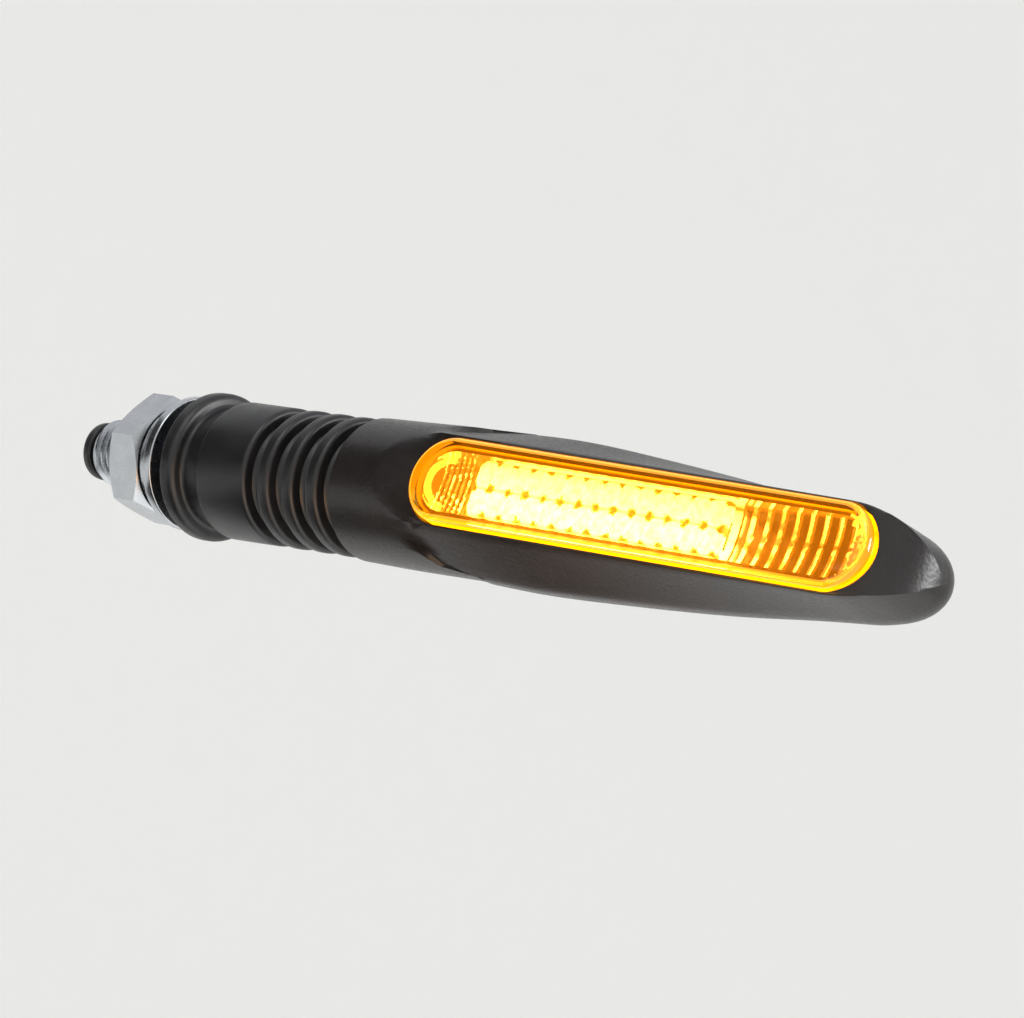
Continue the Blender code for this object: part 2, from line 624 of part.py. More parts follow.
def skin_rings():
    """Rings of the housing's outer skin, from the neck to just short of the tip."""
    chamfer = 0.6 * MM
    rings = [[head_point(NECK_START, *inset_point(depth, up, chamfer))
              for depth, up in full_ring(half_section(NECK_START, False))]]
    neck_end = BEND_START - 3.4 * MM
    for place in [NECK_START + chamfer] + evenly(NECK_START + 4 * MM, neck_end, 3):
        rings.append([head_point(place, *point) for point in full_ring(half_section(place, False))])
    count = len(rings[0])
    steps = [min(i, count - i) for i in range(count)]
    ramps = [ramp_start(step) for step in steps]
    rings.append(ring_at([neck_end + 0.5 * (place - neck_end) for place in ramps], False))
    rings.append(ring_at(ramps, False))
    starts = [facet_start(step) + FACET_LIP for step in steps]
    rings.append(ring_at(starts, True))
    after = FACET_START + FACET_RUN
    for share in (0.5, 1.0):
        rings.append(ring_at([place + share * (after + 5 * MM - place) for place in starts], True))
    straight = evenly(after + 5 * MM, NOSE_START, 9)[1:]
    nose = [HEAD_LENGTH - (HEAD_LENGTH - NOSE_START) * (1 - math.sin(0.5 * math.pi * i / 6))
            for i in range(1, 6)]
    for place in straight + nose:
        rings.append([head_point(place, *point) for point in full_ring(half_section(place, True))])
    return rings


def ramp_start(step):
    """Where the neck begins to drop to the front flat or the facets on each of the twelve steps."""
    ramp = FRONT_RAMP + (CORNER_RAMP - FRONT_RAMP) * min(1.0, step / 3) ** 2
    if step > 3:
        ramp = CORNER_RAMP * (1 - min(1.0, (step - 3) / 3)) ** 2
    return facet_start(step) - FACET_LIP - ramp


def ring_at(places, facets):
    """A ring whose points each have their own place along the stem's axis."""
    return [head_point(place, *full_ring(half_section(place, facets))[i]) for i, place in enumerate(places)]


def cavity_mesh():
    """The space inside the housing, behind the ledge that carries the gasket."""
    front = CAVITY_DEPTH - FRONT_DEPTH
    rings = []
    for place in evenly(CHAMBER_END - MM, CAVITY_END, 12):
        facets = place > FACET_START + FACET_RUN
        half = flat_front(half_section(place, facets, WALL), front)
        rings.append([head_point(place, *point) for point in full_ring(half)])
    return loft("cavity", rings)


def flat_front(half, front):
    """Half of a section cut straight at a depth, with as many points as before."""
    after = next(i for i, (depth, _) in enumerate(half) if depth > front)
    (depth, up), (next_depth, next_up) = half[after - 1], half[after]
    edge = up + (next_up - up) * (front - depth) / (next_depth - depth)
    return [(front, edge * i / (after - 1)) for i in range(after)] + half[after:]


def head_frame(parent):
    """Frame of the lens and all behind it: its XZ plane is the front flat, +Y goes into the head."""
    axis = Vector((math.cos(SWEEP), math.sin(SWEEP), 0))
    inward = Vector((-math.sin(SWEEP), math.cos(SWEEP), 0))
    place = Vector((HEAD_ORIGIN, 0, 0)) + axis * LENS_CENTRE - inward * FRONT_DEPTH
    return pivot("lens_frame", place, parent, SWEEP)


def housing(parent, frame):
    """Moulded shell: neck, blade, lens window with its ledge, cavity and two screw bosses."""
    tip = head_point(HEAD_LENGTH, 0, 0)
    shell = add_part("housing", loft("housing", skin_rings(), tip), "housing_plastic", parent, in_world(parent))
    cuts = [add_cutter("cavity", cavity_mesh(), parent, in_world(parent))]
    bore_start = Matrix.Translation((NECK_START - MM, 0, 0)) @ along_x()
    cuts.append(add_cutter("neck_bore", cylinder_mesh("neck_bore", PLUG_RADIUS + GAP,
                                                      CHAMBER_START - NECK_START + 2 * MM, ROUND_STEPS),
                           parent, in_world(parent) @ bore_start))
    chamber = Matrix.Translation((CHAMBER_START, 0, 0)) @ along_x()
    cuts.append(add_cutter("clip_chamber", cylinder_mesh("clip_chamber", CLIP_RADIUS + GAP,
                                                         CHAMBER_END - CHAMBER_START, ROUND_STEPS),
                           parent, in_world(parent) @ chamber))
    window = stadium_plate("window", LENS_HALF_HEIGHT + GAP, -4 * MM, LEDGE_DEPTH)
    cuts.append(add_cutter("window", window, frame))
    opening = stadium_plate("ledge_opening", LEDGE_HALF_HEIGHT, LEDGE_DEPTH - MM, CAVITY_DEPTH + 0.5 * MM)
    cuts.append(add_cutter("ledge_opening", opening, frame))
    for cut in cuts:
        boolean(shell, cut)
    add_bosses(shell, frame)
    return shell


def add_bosses(shell, frame):
    """Two round bosses from the back wall to the board, each with a screw hole."""
    for side in (-1, 1):
        along = side * SCREW_OFFSET
        place = HEAD_ORIGIN + (LENS_CENTRE + along) * math.cos(SWEEP)
        back = FRONT_DEPTH + blade_at(place)[2] - 0.5 * WALL
        lay = Matrix.Translation((along, BOSS_DEPTH, 0)) @ Matrix.Rotation(math.radians(-90.0), 4, "X")
        boss = add_cutter(f"boss_{side}", cylinder_mesh("boss", BOSS_RADIUS, back - BOSS_DEPTH), frame, lay)
        boolean(shell, boss, "UNION")
        depth = min(SCREW_LENGTH, back - BOSS_DEPTH) - 0.1 * MM
        lay_hole = Matrix.Translation((0, -0.5 * MM, 0)) @ lay
        hole = add_cutter(f"boss_hole_{side}",
                          cylinder_mesh("boss_hole", SCREW_RADIUS + GAP, depth + 0.5 * MM, 16), frame, lay_hole)
        boolean(shell, hole)


# ---------------------------------------------------------------- lens and light source

def lens(frame):
    """Amber lens: a face with rounded edges that stands proud, and a skirt on the gasket."""
    mesh = stadium_plate("lens", LENS_HALF_HEIGHT, -LENS_PROUD, LENS_SKIRT_DEPTH)
    part = add_part("lens", mesh, "amber_lens", frame)
    round_front_edge(mesh, -LENS_PROUD, LENS_EDGE)
    inner = stadium_plate("lens_inside", LENS_HALF_HEIGHT - LENS_SKIRT_WALL,
                          LENS_INNER_DEPTH, LENS_SKIRT_DEPTH + MM)
    boolean(part, add_cutter("lens_inside", inner, frame))
    return part


def round_front_edge(mesh, depth, width):
    """Bevels the outline of a plate's front face."""
    bm = bmesh.new()
    bm.from_mesh(mesh)
    front = [edge for edge in bm.edges
             if all(abs(vert.co.y - depth) < 1e-6 for vert in edge.verts)
             and any(abs(face.normal.y) < 0.5 for face in edge.link_faces)]
    bmesh.ops.bevel(bm, geom=front, offset=width, segments=2, affect="EDGES", profile=0.5, material=-1)
    bm.to_mesh(mesh)
    bm.free()
    mesh.shade_smooth()
    mesh.set_sharp_from_angle(angle=math.radians(40))


def lens_gasket(frame):
    """Flat rubber seal between the lens's skirt and the ledge."""
    mesh = stadium_plate("lens_gasket", LENS_HALF_HEIGHT, GASKET_DEPTH, GASKET_DEPTH + GASKET_THICKNESS,
                         LEDGE_HALF_HEIGHT)
    return add_part("lens_gasket", mesh, "rubber", frame)


def optic_bar(frame):
    """Clear bar in front of the LEDs, with a shallow groove between its two rows of cells."""
    size = (OPTIC_LENGTH, OPTIC_THICKNESS, 2 * OPTIC_HALF_HEIGHT)
    place = Matrix.Translation((OPTIC_OFFSET, OPTIC_DEPTH + 0.5 * OPTIC_THICKNESS, 0))
    part = add_part("optic_bar", box_mesh("optic_bar", size, 0.3 * MM), "clear_optic", frame, place)
    groove = box_mesh("optic_groove", (OPTIC_LENGTH + MM, 0.5 * MM, 0.5 * MM))
    cut = add_cutter("optic_groove", groove, frame, Matrix.Translation((OPTIC_OFFSET, OPTIC_DEPTH, 0)))
    boolean(part, cut)
    return part


def flute_block(side, frame):
    """Steps that rise from the reflector's floor toward one round end, to be kept by the pocket."""
    reach = 0.5 * LENS_STRAIGHT + REFLECTOR_HALF_HEIGHT + MM
    start = side * OPTIC_OFFSET + 0.5 * OPTIC_LENGTH + GAP + REFLECTOR_WALL
    floor = REFLECTOR_END_DEPTH - REFLECTOR_FLOOR - FLUTE_BASE
    rise = (floor - REFLECTOR_DEPTH - REFLECTOR_WALL) / FLUTE_COUNT
    run = (0.5 * LENS_STRAIGHT + REFLECTOR_HALF_HEIGHT - REFLECTOR_WALL - start) / (FLUTE_COUNT + 1.4)
    outline = [(side * start, -REFLECTOR_END_DEPTH)]
    for step in range(FLUTE_COUNT):
        along = start + run * step
        outline.append((side * along, -(floor - rise * step)))
        outline.append((side * (along + run), -(floor - rise * (step + FLUTE_LIP))))
    outline.append((side * reach, -(floor - rise * FLUTE_COUNT)))
    outline.append((side * reach, -REFLECTOR_END_DEPTH))
    mesh = plate_mesh(f"flutes_{side}", outline, -2 * OPTIC_HALF_HEIGHT, 2 * OPTIC_HALF_HEIGHT)
    mesh.transform(Matrix.Rotation(math.radians(90.0), 4, "X"))
    return add_cutter(f"flutes_{side}", mesh, frame)


def reflector(frame):
    """Bright tray round the optic, with fluted ramps at its two ends."""
    body = stadium_plate("reflector", REFLECTOR_HALF_HEIGHT, REFLECTOR_DEPTH, REFLECTOR_END_DEPTH)
    part = add_part("reflector", body, "bright_reflector", frame)
    pocket_half_height = REFLECTOR_HALF_HEIGHT - REFLECTOR_WALL
    pocket = add_cutter("reflector_pocket", stadium_plate("reflector_pocket", pocket_half_height,
                                                          REFLECTOR_DEPTH - MM,
                                                          REFLECTOR_END_DEPTH - REFLECTOR_FLOOR), frame)
    for side in (-1, 1):
        boolean(pocket, flute_block(side, frame))
    boolean(part, pocket)
    slot_size = (OPTIC_LENGTH, 4 * REFLECTOR_END_DEPTH, LED_SIZE[2] + 4 * GAP)
    slot = add_cutter("reflector_slot", box_mesh("reflector_slot", slot_size), frame,
                      Matrix.Translation((OPTIC_OFFSET, 0, 0)))
    boolean(part, slot)
    for side in (-1, 1):
        lay = Matrix.Translation((side * SCREW_OFFSET, REFLECTOR_END_DEPTH - SCREW_HEAD_HEIGHT, 0))
        lay = lay @ Matrix.Rotation(math.radians(-90.0), 4, "X")
        relief = cylinder_mesh("screw_relief", SCREW_HEAD_RADIUS + GAP, SCREW_HEAD_HEIGHT + MM)
        boolean(part, add_cutter(f"screw_relief_{side}", relief, frame, lay))
    return part


def circuit_board(frame):
    """Laminate board shaped like the lens, with two screw holes."""
    mesh = stadium_plate("circuit_board", BOARD_HALF_HEIGHT, BOARD_DEPTH, BOARD_BACK)
    part = add_part("circuit_board", mesh, "board_laminate", frame)
    for side in (-1, 1):
        lay = Matrix.Translation((side * SCREW_OFFSET, BOARD_DEPTH - MM, 0))
        lay = lay @ Matrix.Rotation(math.radians(-90.0), 4, "X")
        hole = cylinder_mesh("board_hole", SCREW_RADIUS + GAP, BOARD_THICKNESS + 2 * MM, 16)
        boolean(part, add_cutter(f"board_hole_{side}", hole, frame, lay))
    return part


def leds(frame):
    """A row of LEDs on the board's front, behind the optic."""
    for number in range(1, LED_COUNT + 1):
        along = OPTIC_OFFSET + LED_PITCH * (number - 0.5 * (LED_COUNT + 1))
        place = Matrix.Translation((along, LED_DEPTH + 0.5 * LED_SIZE[1], 0))
        add_part(f"led_{number}", box_mesh(f"led_{number}", LED_SIZE, 0.25 * MM), "led_package", frame, place)


def back_components(frame):
    """Diode, driver, capacitor and resistors, evenly spread along the board's back."""
    pieces = [("input_diode", (4.4, 2.1, 2.7), "component_black"),
              ("driver_chip", (5.0, 1.6, 4.0), "component_black"),
              ("capacitor", (3.5, 1.9, 2.8), "component_tan")]
    pieces += [(f"resistor_{number}", (3.2, 0.7, 1.6), "component_black") for number in range(1, 5)]
    places = evenly(COMPONENTS_START, COMPONENTS_END, len(pieces))
    for along, (name, size, material) in zip(places, pieces):
        size = [value * MM for value in size]
        place = Matrix.Translation((along, BOARD_BACK + GAP + 0.5 * size[1], 0))
        add_part(name, box_mesh(name, size, 0.15 * MM), material, frame, place)


def board_screw(number, side, frame):
    """Screw through the board into its boss, head toward the lens."""
    head = BOARD_DEPTH - GAP
    tip = BOARD_DEPTH + SCREW_LENGTH
    outline = [(head - SCREW_HEAD_HEIGHT + 0.4 * MM, SCREW_HEAD_RADIUS), (head, SCREW_HEAD_RADIUS),
               (head, SCREW_RADIUS), (tip, SCREW_RADIUS)]
    profile = [(0.0, 0.0, head - SCREW_HEAD_HEIGHT + 0.15 * MM)]
    profile += [(0.6 * SCREW_HEAD_RADIUS, 0.0, head - SCREW_HEAD_HEIGHT + 0.15 * MM)]
    profile += [(radius, 0.0, depth) for depth, radius in outline]
    profile += [(0.0, 0.0, tip)]
    bm = bmesh.new()
    verts = [bm.verts.new(point) for point in profile[::-1]]
    for first, second in zip(verts, verts[1:]):
        bm.edges.new((first, second))
    mesh = bpy.data.meshes.new(f"board_screw_{number}")
    bm.to_mesh(mesh)
    bm.free()
    lay = Matrix.Translation((side * SCREW_OFFSET, 0, 0)) @ Matrix.Rotation(math.radians(-90.0), 4, "X")
    part = add_part(f"board_screw_{number}", mesh, "zinc_steel", frame, lay)
    add_screw(part, 16)
    return part


def lead(name, side, material, parent):
    """A lead from the plug's channel, past the boss, to the board's back."""
    board_axis = Vector((math.cos(SWEEP), math.sin(SWEEP), 0))
    inward = Vector((-math.sin(SWEEP), math.cos(SWEEP), 0))
    board_start = 0.5 * LENS_STRAIGHT + BOARD_HALF_HEIGHT
    corner = Vector((HEAD_ORIGIN, 0, 0)) + board_axis * (LENS_CENTRE - board_start)
    corner += inward * (BOARD_BACK + 2 * GAP + LEAD_RADIUS - FRONT_DEPTH)
    near = side * LEAD_CHANNEL_OFFSET
    far = Vector((0, 0, side * LEAD_BOARD_OFFSET))
    route = [Vector((NECK_START + GAP, 0, near)), Vector((0.5 * (NECK_START + PLUG_END), 0, near)),
             Vector((PLUG_END - 0.5 * MM, 0, near)),
             corner + board_axis * 0.35 * LEAD_REACH + far,
             corner + board_axis * 0.7 * LEAD_REACH + far,
             corner + board_axis * LEAD_REACH + far]
    curve = bpy.data.curves.new(name, "CURVE")
    curve.dimensions = "3D"
    curve.bevel_depth = LEAD_RADIUS
    curve.bevel_resolution = 1
    curve.use_fill_caps = True
    points = smooth_route(route, 4)
    spline = curve.splines.new("POLY")
    spline.points.add(len(points) - 1)
    for point, place in zip(spline.points, points):
        point.co = (*place, 1.0)
    wire = bpy.data.objects.new(name + "_route", curve)
    bpy.data.collections[CUTTERS].objects.link(wire)
    bpy.context.view_layer.update()
    mesh = bpy.data.meshes.new_from_object(wire.evaluated_get(bpy.context.evaluated_depsgraph_get()))
    bpy.data.objects.remove(wire)
    bm = bmesh.new()
    bm.from_mesh(mesh)
    bpy.data.meshes.remove(mesh)
    bmesh.ops.remove_doubles(bm, verts=bm.verts[:], dist=0.000001)
    return add_part(name, mesh_from(bm, name, 50), material, parent, in_world(parent))


def smooth_route(route, steps):
    """Points on a smooth curve through a route's points."""
    points = []
    ends = [route[0]] + route + [route[-1]]
    for i in range(1, len(ends) - 2):
        for step in range(steps):
            share = step / steps
            slope_in = 0.5 * (ends[i + 1] - ends[i - 1])
            slope_out = 0.5 * (ends[i + 2] - ends[i])
            points.append((2 * share**3 - 3 * share**2 + 1) * ends[i]
                          + (share**3 - 2 * share**2 + share) * slope_in
                          + (3 * share**2 - 2 * share**3) * ends[i + 1]
                          + (share**3 - share**2) * slope_out)
    return points + [route[-1]]


# ---------------------------------------------------------------- assembly

def build():
    """Builds the indicator: the fixing, the bending stem and the lamp head."""
    clear_scene()
    root = pivot("bracket_seat_centre", Vector((0, 0, 0)))
    stem_base(root)
    threaded_stud(root)
    wire_grommet(root)
    clamp = pivot("clamp_axis", Vector((-BRACKET_THICKNESS, 0, 0)), root)
    clamp_nut(clamp, clamp_washers(clamp))
    parent = root
    for number in range(1, RING_COUNT + 2):
        stem_web(number, parent)
        centre = BASE_LENGTH + 0.5 * GROOVE_WIDTH + (number - 1) * SLOT_PITCH
        parent = pivot(f"bend_axis_{number}", Vector((centre, 0, 0)), parent)
        if number <= RING_COUNT:
            stem_ring(number, parent)
    stem_plug(parent)
    stem_clip(parent)
    frame = head_frame(parent)
    housing(parent, frame)
    lens(frame)
    lens_gasket(frame)
    reflector(frame)
    optic_bar(frame)
    circuit_board(frame)
    leds(frame)
    back_components(frame)
    board_screw(1, -1, frame)
    board_screw(2, 1, frame)
    lead("lead_black", -1, "lead_black", parent)
    lead("lead_amber", 1, "lead_amber", parent)


build()
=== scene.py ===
"""Looks of an LED turn signal indicator on a ringed rubber stem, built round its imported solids.

The frame: +X runs outward along the stem, the lens faces -Y, +Z is up, and the origin is the centre
of the face that seats on the bracket. The stud points along -X. Lengths are in metres.
"""

import logging
import math
from dataclasses import dataclass
from enum import Enum

import bmesh
import bpy
from bmesh.types import BMesh, BMVert
from bpy.types import Material, Node, NodeSocket, NodeTree, Object
from mathutils import Matrix, Vector


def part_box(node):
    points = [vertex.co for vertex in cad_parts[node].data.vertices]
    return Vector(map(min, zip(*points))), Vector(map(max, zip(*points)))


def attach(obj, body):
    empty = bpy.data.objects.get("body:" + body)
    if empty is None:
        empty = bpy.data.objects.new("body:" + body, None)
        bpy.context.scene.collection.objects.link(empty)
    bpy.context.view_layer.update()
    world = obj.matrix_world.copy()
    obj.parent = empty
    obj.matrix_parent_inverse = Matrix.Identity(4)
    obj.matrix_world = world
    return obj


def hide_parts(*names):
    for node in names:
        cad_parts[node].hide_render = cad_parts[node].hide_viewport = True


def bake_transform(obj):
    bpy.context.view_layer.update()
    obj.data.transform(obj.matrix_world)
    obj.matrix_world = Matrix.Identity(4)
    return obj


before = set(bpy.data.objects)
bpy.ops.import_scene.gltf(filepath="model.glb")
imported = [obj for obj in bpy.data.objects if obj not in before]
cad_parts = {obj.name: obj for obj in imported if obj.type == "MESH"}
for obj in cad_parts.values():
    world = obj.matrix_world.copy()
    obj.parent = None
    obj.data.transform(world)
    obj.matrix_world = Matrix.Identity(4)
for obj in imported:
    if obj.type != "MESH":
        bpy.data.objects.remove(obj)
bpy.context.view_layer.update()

LOG = logging.getLogger("turn_signal")
MM = 0.001
GAP = 0.3 * MM                      # clearance between neighbouring solids, as in the CAD
NOISE_RANGE = (0.3, 0.7)            # where nearly all of a noise's values lie
ACRYLIC_IOR = 1.49
QUARTER_TURN = math.radians(90.0)


class Body(str, Enum):
    """The moving bodies that pieces ride on."""

    BASE = "base"
    WASHERS = "clamp_washers"
    NUT = "clamp_nut"
    RING_1 = "ring_1"
    RING_2 = "ring_2"
    RING_3 = "ring_3"
    HEAD = "lamp_head"


# ---------------------------------------------------------------- node and colour helpers

def srgb(code: str) -> tuple[float, float, float, float]:
    """Turns an sRGB hex colour into linear values.

    Args:
        code: six hex digits after a hash sign.

    Returns:
        Linear red, green, blue and an alpha of 1.
    """
    parts = [int(code[i:i + 2], 16) / 255 for i in (1, 3, 5)]
    linear = [part / 12.92 if part <= 0.04045 else ((part + 0.055) / 1.055) ** 2.4 for part in parts]
    return (*linear, 1.0)


def put(tree: NodeTree, socket: NodeSocket, value: object) -> None:
    """Links an output socket to an input, or sets the input's own value.

    Args:
        tree: the node tree.
        socket: the input.
        value: an output socket or a plain value.
    """
    if isinstance(value, NodeSocket):
        tree.links.new(value, socket)
    else:
        socket.default_value = value


def add_node(tree: NodeTree, kind: str, settings: dict | None = None, inputs: dict | None = None) -> Node:
    """Adds a node, sets its properties, and sets or links its inputs.

    Args:
        tree: the node tree of a material or world.
        kind: the node's type name.
        settings: property values of the node.
        inputs: values or output sockets, by input name or number.

    Returns:
        The new node.
    """
    node = tree.nodes.new(kind)
    for name, value in (settings or {}).items():
        setattr(node, name, value)
    for key, value in (inputs or {}).items():
        put(tree, node.inputs[key], value)
    return node


@dataclass
class Surface:
    """Node tree of a material, with the steps that the finishes share."""

    tree: NodeTree

    def set(self, values: dict) -> None:
        """Sets or links inputs of the shader.

        Args:
            values: values or output sockets, by input name.
        """
        for name, value in values.items():
            put(self.tree, self.tree.nodes["Principled BSDF"].inputs[name], value)

    def place(self) -> NodeSocket:
        """The socket of Object coordinates."""
        return add_node(self.tree, "ShaderNodeTexCoord").outputs["Object"]

    def grain(self, size: float, detail: float = 2.0) -> NodeSocket:
        """Adds a noise whose spots have a real size.

        Args:
            size: width of a spot in metres.
            detail: number of finer layers.

        Returns:
            The noise's value.
        """
        noise = add_node(self.tree, "ShaderNodeTexNoise", None,
                         {"Vector": self.place(), "Scale": 1.0 / size, "Detail": detail})
        return noise.outputs["Fac"]

    def spread(self, value: NodeSocket, low: float, high: float) -> NodeSocket:
        """Maps a noise's middle range to two values.

        Args:
            value: the noise's value.
            low: result at the noise's low end.
            high: result at its high end.

        Returns:
            The mapped value.
        """
        return self.ramp(value, NOISE_RANGE, (low, high))

    def ramp(self, value: NodeSocket, source: tuple[float, float], target: tuple[float, float],
             interpolation: str = "LINEAR") -> NodeSocket:
        """Maps one range to another.

        Args:
            value: the value.
            source: the range that it is in.
            target: the range that it is mapped to.
            interpolation: the Map Range node's interpolation.

        Returns:
            The mapped value.
        """
        node = add_node(self.tree, "ShaderNodeMapRange", {"interpolation_type": interpolation},
                        {"Value": value, "From Min": source[0], "From Max": source[1],
                         "To Min": target[0], "To Max": target[1]})
        return node.outputs["Result"]

    def blend(self, value: NodeSocket, first: str, second: str) -> NodeSocket:
        """Mixes two colours over the middle range of a value.

        Args:
            value: the value.
            first: sRGB hex colour at its low end.
            second: sRGB hex colour at its high end.

        Returns:
            The mixed colour.
        """
        node = add_node(self.tree, "ShaderNodeValToRGB", None, {"Fac": value})
        for element, colour, position in zip(node.color_ramp.elements, (first, second), NOISE_RANGE):
            element.color = srgb(colour)
            element.position = position
        return node.outputs["Color"]

    def bump(self, height: NodeSocket, depth: float, strength: float) -> NodeSocket:
        """Adds a bump of a real depth.

        Args:
            height: the height between 0 and 1.
            depth: height of the bumps in metres.
            strength: how much of the bump is used.

        Returns:
            The bent normal.
        """
        node = add_node(self.tree, "ShaderNodeBump", None,
                        {"Height": height, "Distance": depth, "Strength": strength})
        return node.outputs["Normal"]

    def math(self, operation: str, first: NodeSocket, second: NodeSocket | float = 0.0) -> NodeSocket:
        """Adds one arithmetic step.

        Args:
            operation: the Math node's operation.
            first: first value.
            second: second value.

        Returns:
            The result.
        """
        return add_node(self.tree, "ShaderNodeMath", {"operation": operation},
                        {0: first, 1: second}).outputs["Value"]


# ---------------------------------------------------------------- finishes

@dataclass(frozen=True)
class Finish:
    """A material of one real kind, made once and shared by its pieces."""

    name: str

    def material(self) -> Material:
        """Makes the material on the first call.

        Returns:
            The material.
        """
        if self.name not in bpy.data.materials:
            made = bpy.data.materials.new(self.name)
            made.use_nodes = True
            self.dress(Surface(made.node_tree))
        return bpy.data.materials[self.name]

    def dress(self, surface: Surface) -> None:
        """Sets the shader and adds the nodes of this finish.

        Args:
            surface: the material's nodes.
        """
        raise NotImplementedError


@dataclass(frozen=True)
class MottledFinish(Finish):
    """A finish whose colour drifts in patches, with a gloss that varies and a fine grain in its height."""

    dark: str = "#000000"
    light: str = "#ffffff"
    patch: float = 1.5 * MM
    detail: float = 3.0
    gloss: tuple[float, float] = (0.30, 0.45)
    gloss_in_grain: bool = False
    metallic: float = 0.0
    ior: float | None = None
    grain: tuple[float, float, float] | None = None     # width, height and strength

    def dress(self, surface: Surface) -> None:
        """Sets colour patches, a gloss that follows the patches or the grain, and the grain's height.

        Args:
            surface: the material's nodes.
        """
        patches = surface.grain(self.patch, self.detail)
        fine = surface.grain(self.grain[0], 3.0) if self.grain else patches
        surface.set({"Base Color": surface.blend(patches, self.dark, self.light),
                     "Roughness": surface.spread(fine if self.gloss_in_grain else patches, *self.gloss),
                     "Metallic": self.metallic})
        if self.ior:
            surface.set({"IOR": self.ior})
        if self.grain:
            surface.set({"Normal": surface.bump(fine, *self.grain[1:])})


@dataclass(frozen=True)
class MouldedRubber(MottledFinish):
    """EPDM rubber as it leaves the mould: near black, satin, with faint grey bloom in patches."""

    dark: str = "#0f0f11"
    light: str = "#1c1c1f"
    patch: float = 5 * MM
    detail: float = 4.0
    gloss: tuple[float, float] = (0.33, 0.45)
    ior: float | None = 1.52
    grain: tuple[float, float, float] | None = (0.25 * MM, 0.02 * MM, 0.35)


@dataclass(frozen=True)
class TexturedAbs(MottledFinish):
    """ABS moulded in a spark-eroded tool: warm dark grey, satin, with an even grain (drawn coarse)."""

    dark: str = "#151212"
    light: str = "#1f1b1b"
    patch: float = 14 * MM
    gloss: tuple[float, float] = (0.28, 0.40)
    gloss_in_grain: bool = True
    ior: float | None = 1.5
    grain: tuple[float, float, float] | None = (0.5 * MM, 0.05 * MM, 0.8)


@dataclass(frozen=True)
class ZincPlatedSteel(MottledFinish):
    """Bright zinc-plated steel: cool grey metal with a fine tooth and cloudy passivation."""

    dark: str = "#b9bcc1"
    light: str = "#c6c9cd"
    patch: float = 2.5 * MM
    detail: float = 4.0
    gloss: tuple[float, float] = (0.24, 0.29)
    metallic: float = 1.0
    grain: tuple[float, float, float] | None = (0.3 * MM, 0.004 * MM, 0.2)


@dataclass(frozen=True)
class MouldedEpoxy(MottledFinish):
    """Epoxy moulding compound or a painted case of a small component, matt with a fine speckle."""

    dark: str = "#141415"
    light: str = "#242426"
    patch: float = 0.2 * MM
    gloss: tuple[float, float] = (0.42, 0.60)
    grain: tuple[float, float, float] | None = (0.2 * MM, 0.01 * MM, 0.4)


@dataclass(frozen=True)
class WireSheath(MottledFinish):
    """Extruded PVC sheath of a lead: smooth, slightly waxy, with faint rub marks."""

    dark: str = "#101012"
    light: str = "#1d1d20"


@dataclass(frozen=True)
class AmberAcrylic(Finish):
    """Amber PMMA, polished tool: clear and deep orange, with a painted glow that stands in for the LEDs'
    light scattered in it.
    """

    glow_strength: float = 0.05
    glow: str = "#ffa400"
    tint: str = "#ffc24e"

    def dress(self, surface: Surface) -> None:
        """Sets a clear tinted body with a faint moulding ripple and a weak painted glow.

        Args:
            surface: the material's nodes.
        """
        surface.set({"Base Color": srgb(self.tint), "Transmission Weight": 1.0, "IOR": ACRYLIC_IOR,
                     "Emission Color": srgb(self.glow), "Emission Strength": self.glow_strength,
                     "Roughness": surface.spread(surface.grain(3 * MM), 0.03, 0.07),
                     "Normal": surface.bump(surface.grain(6 * MM), 0.02 * MM, 0.2)})


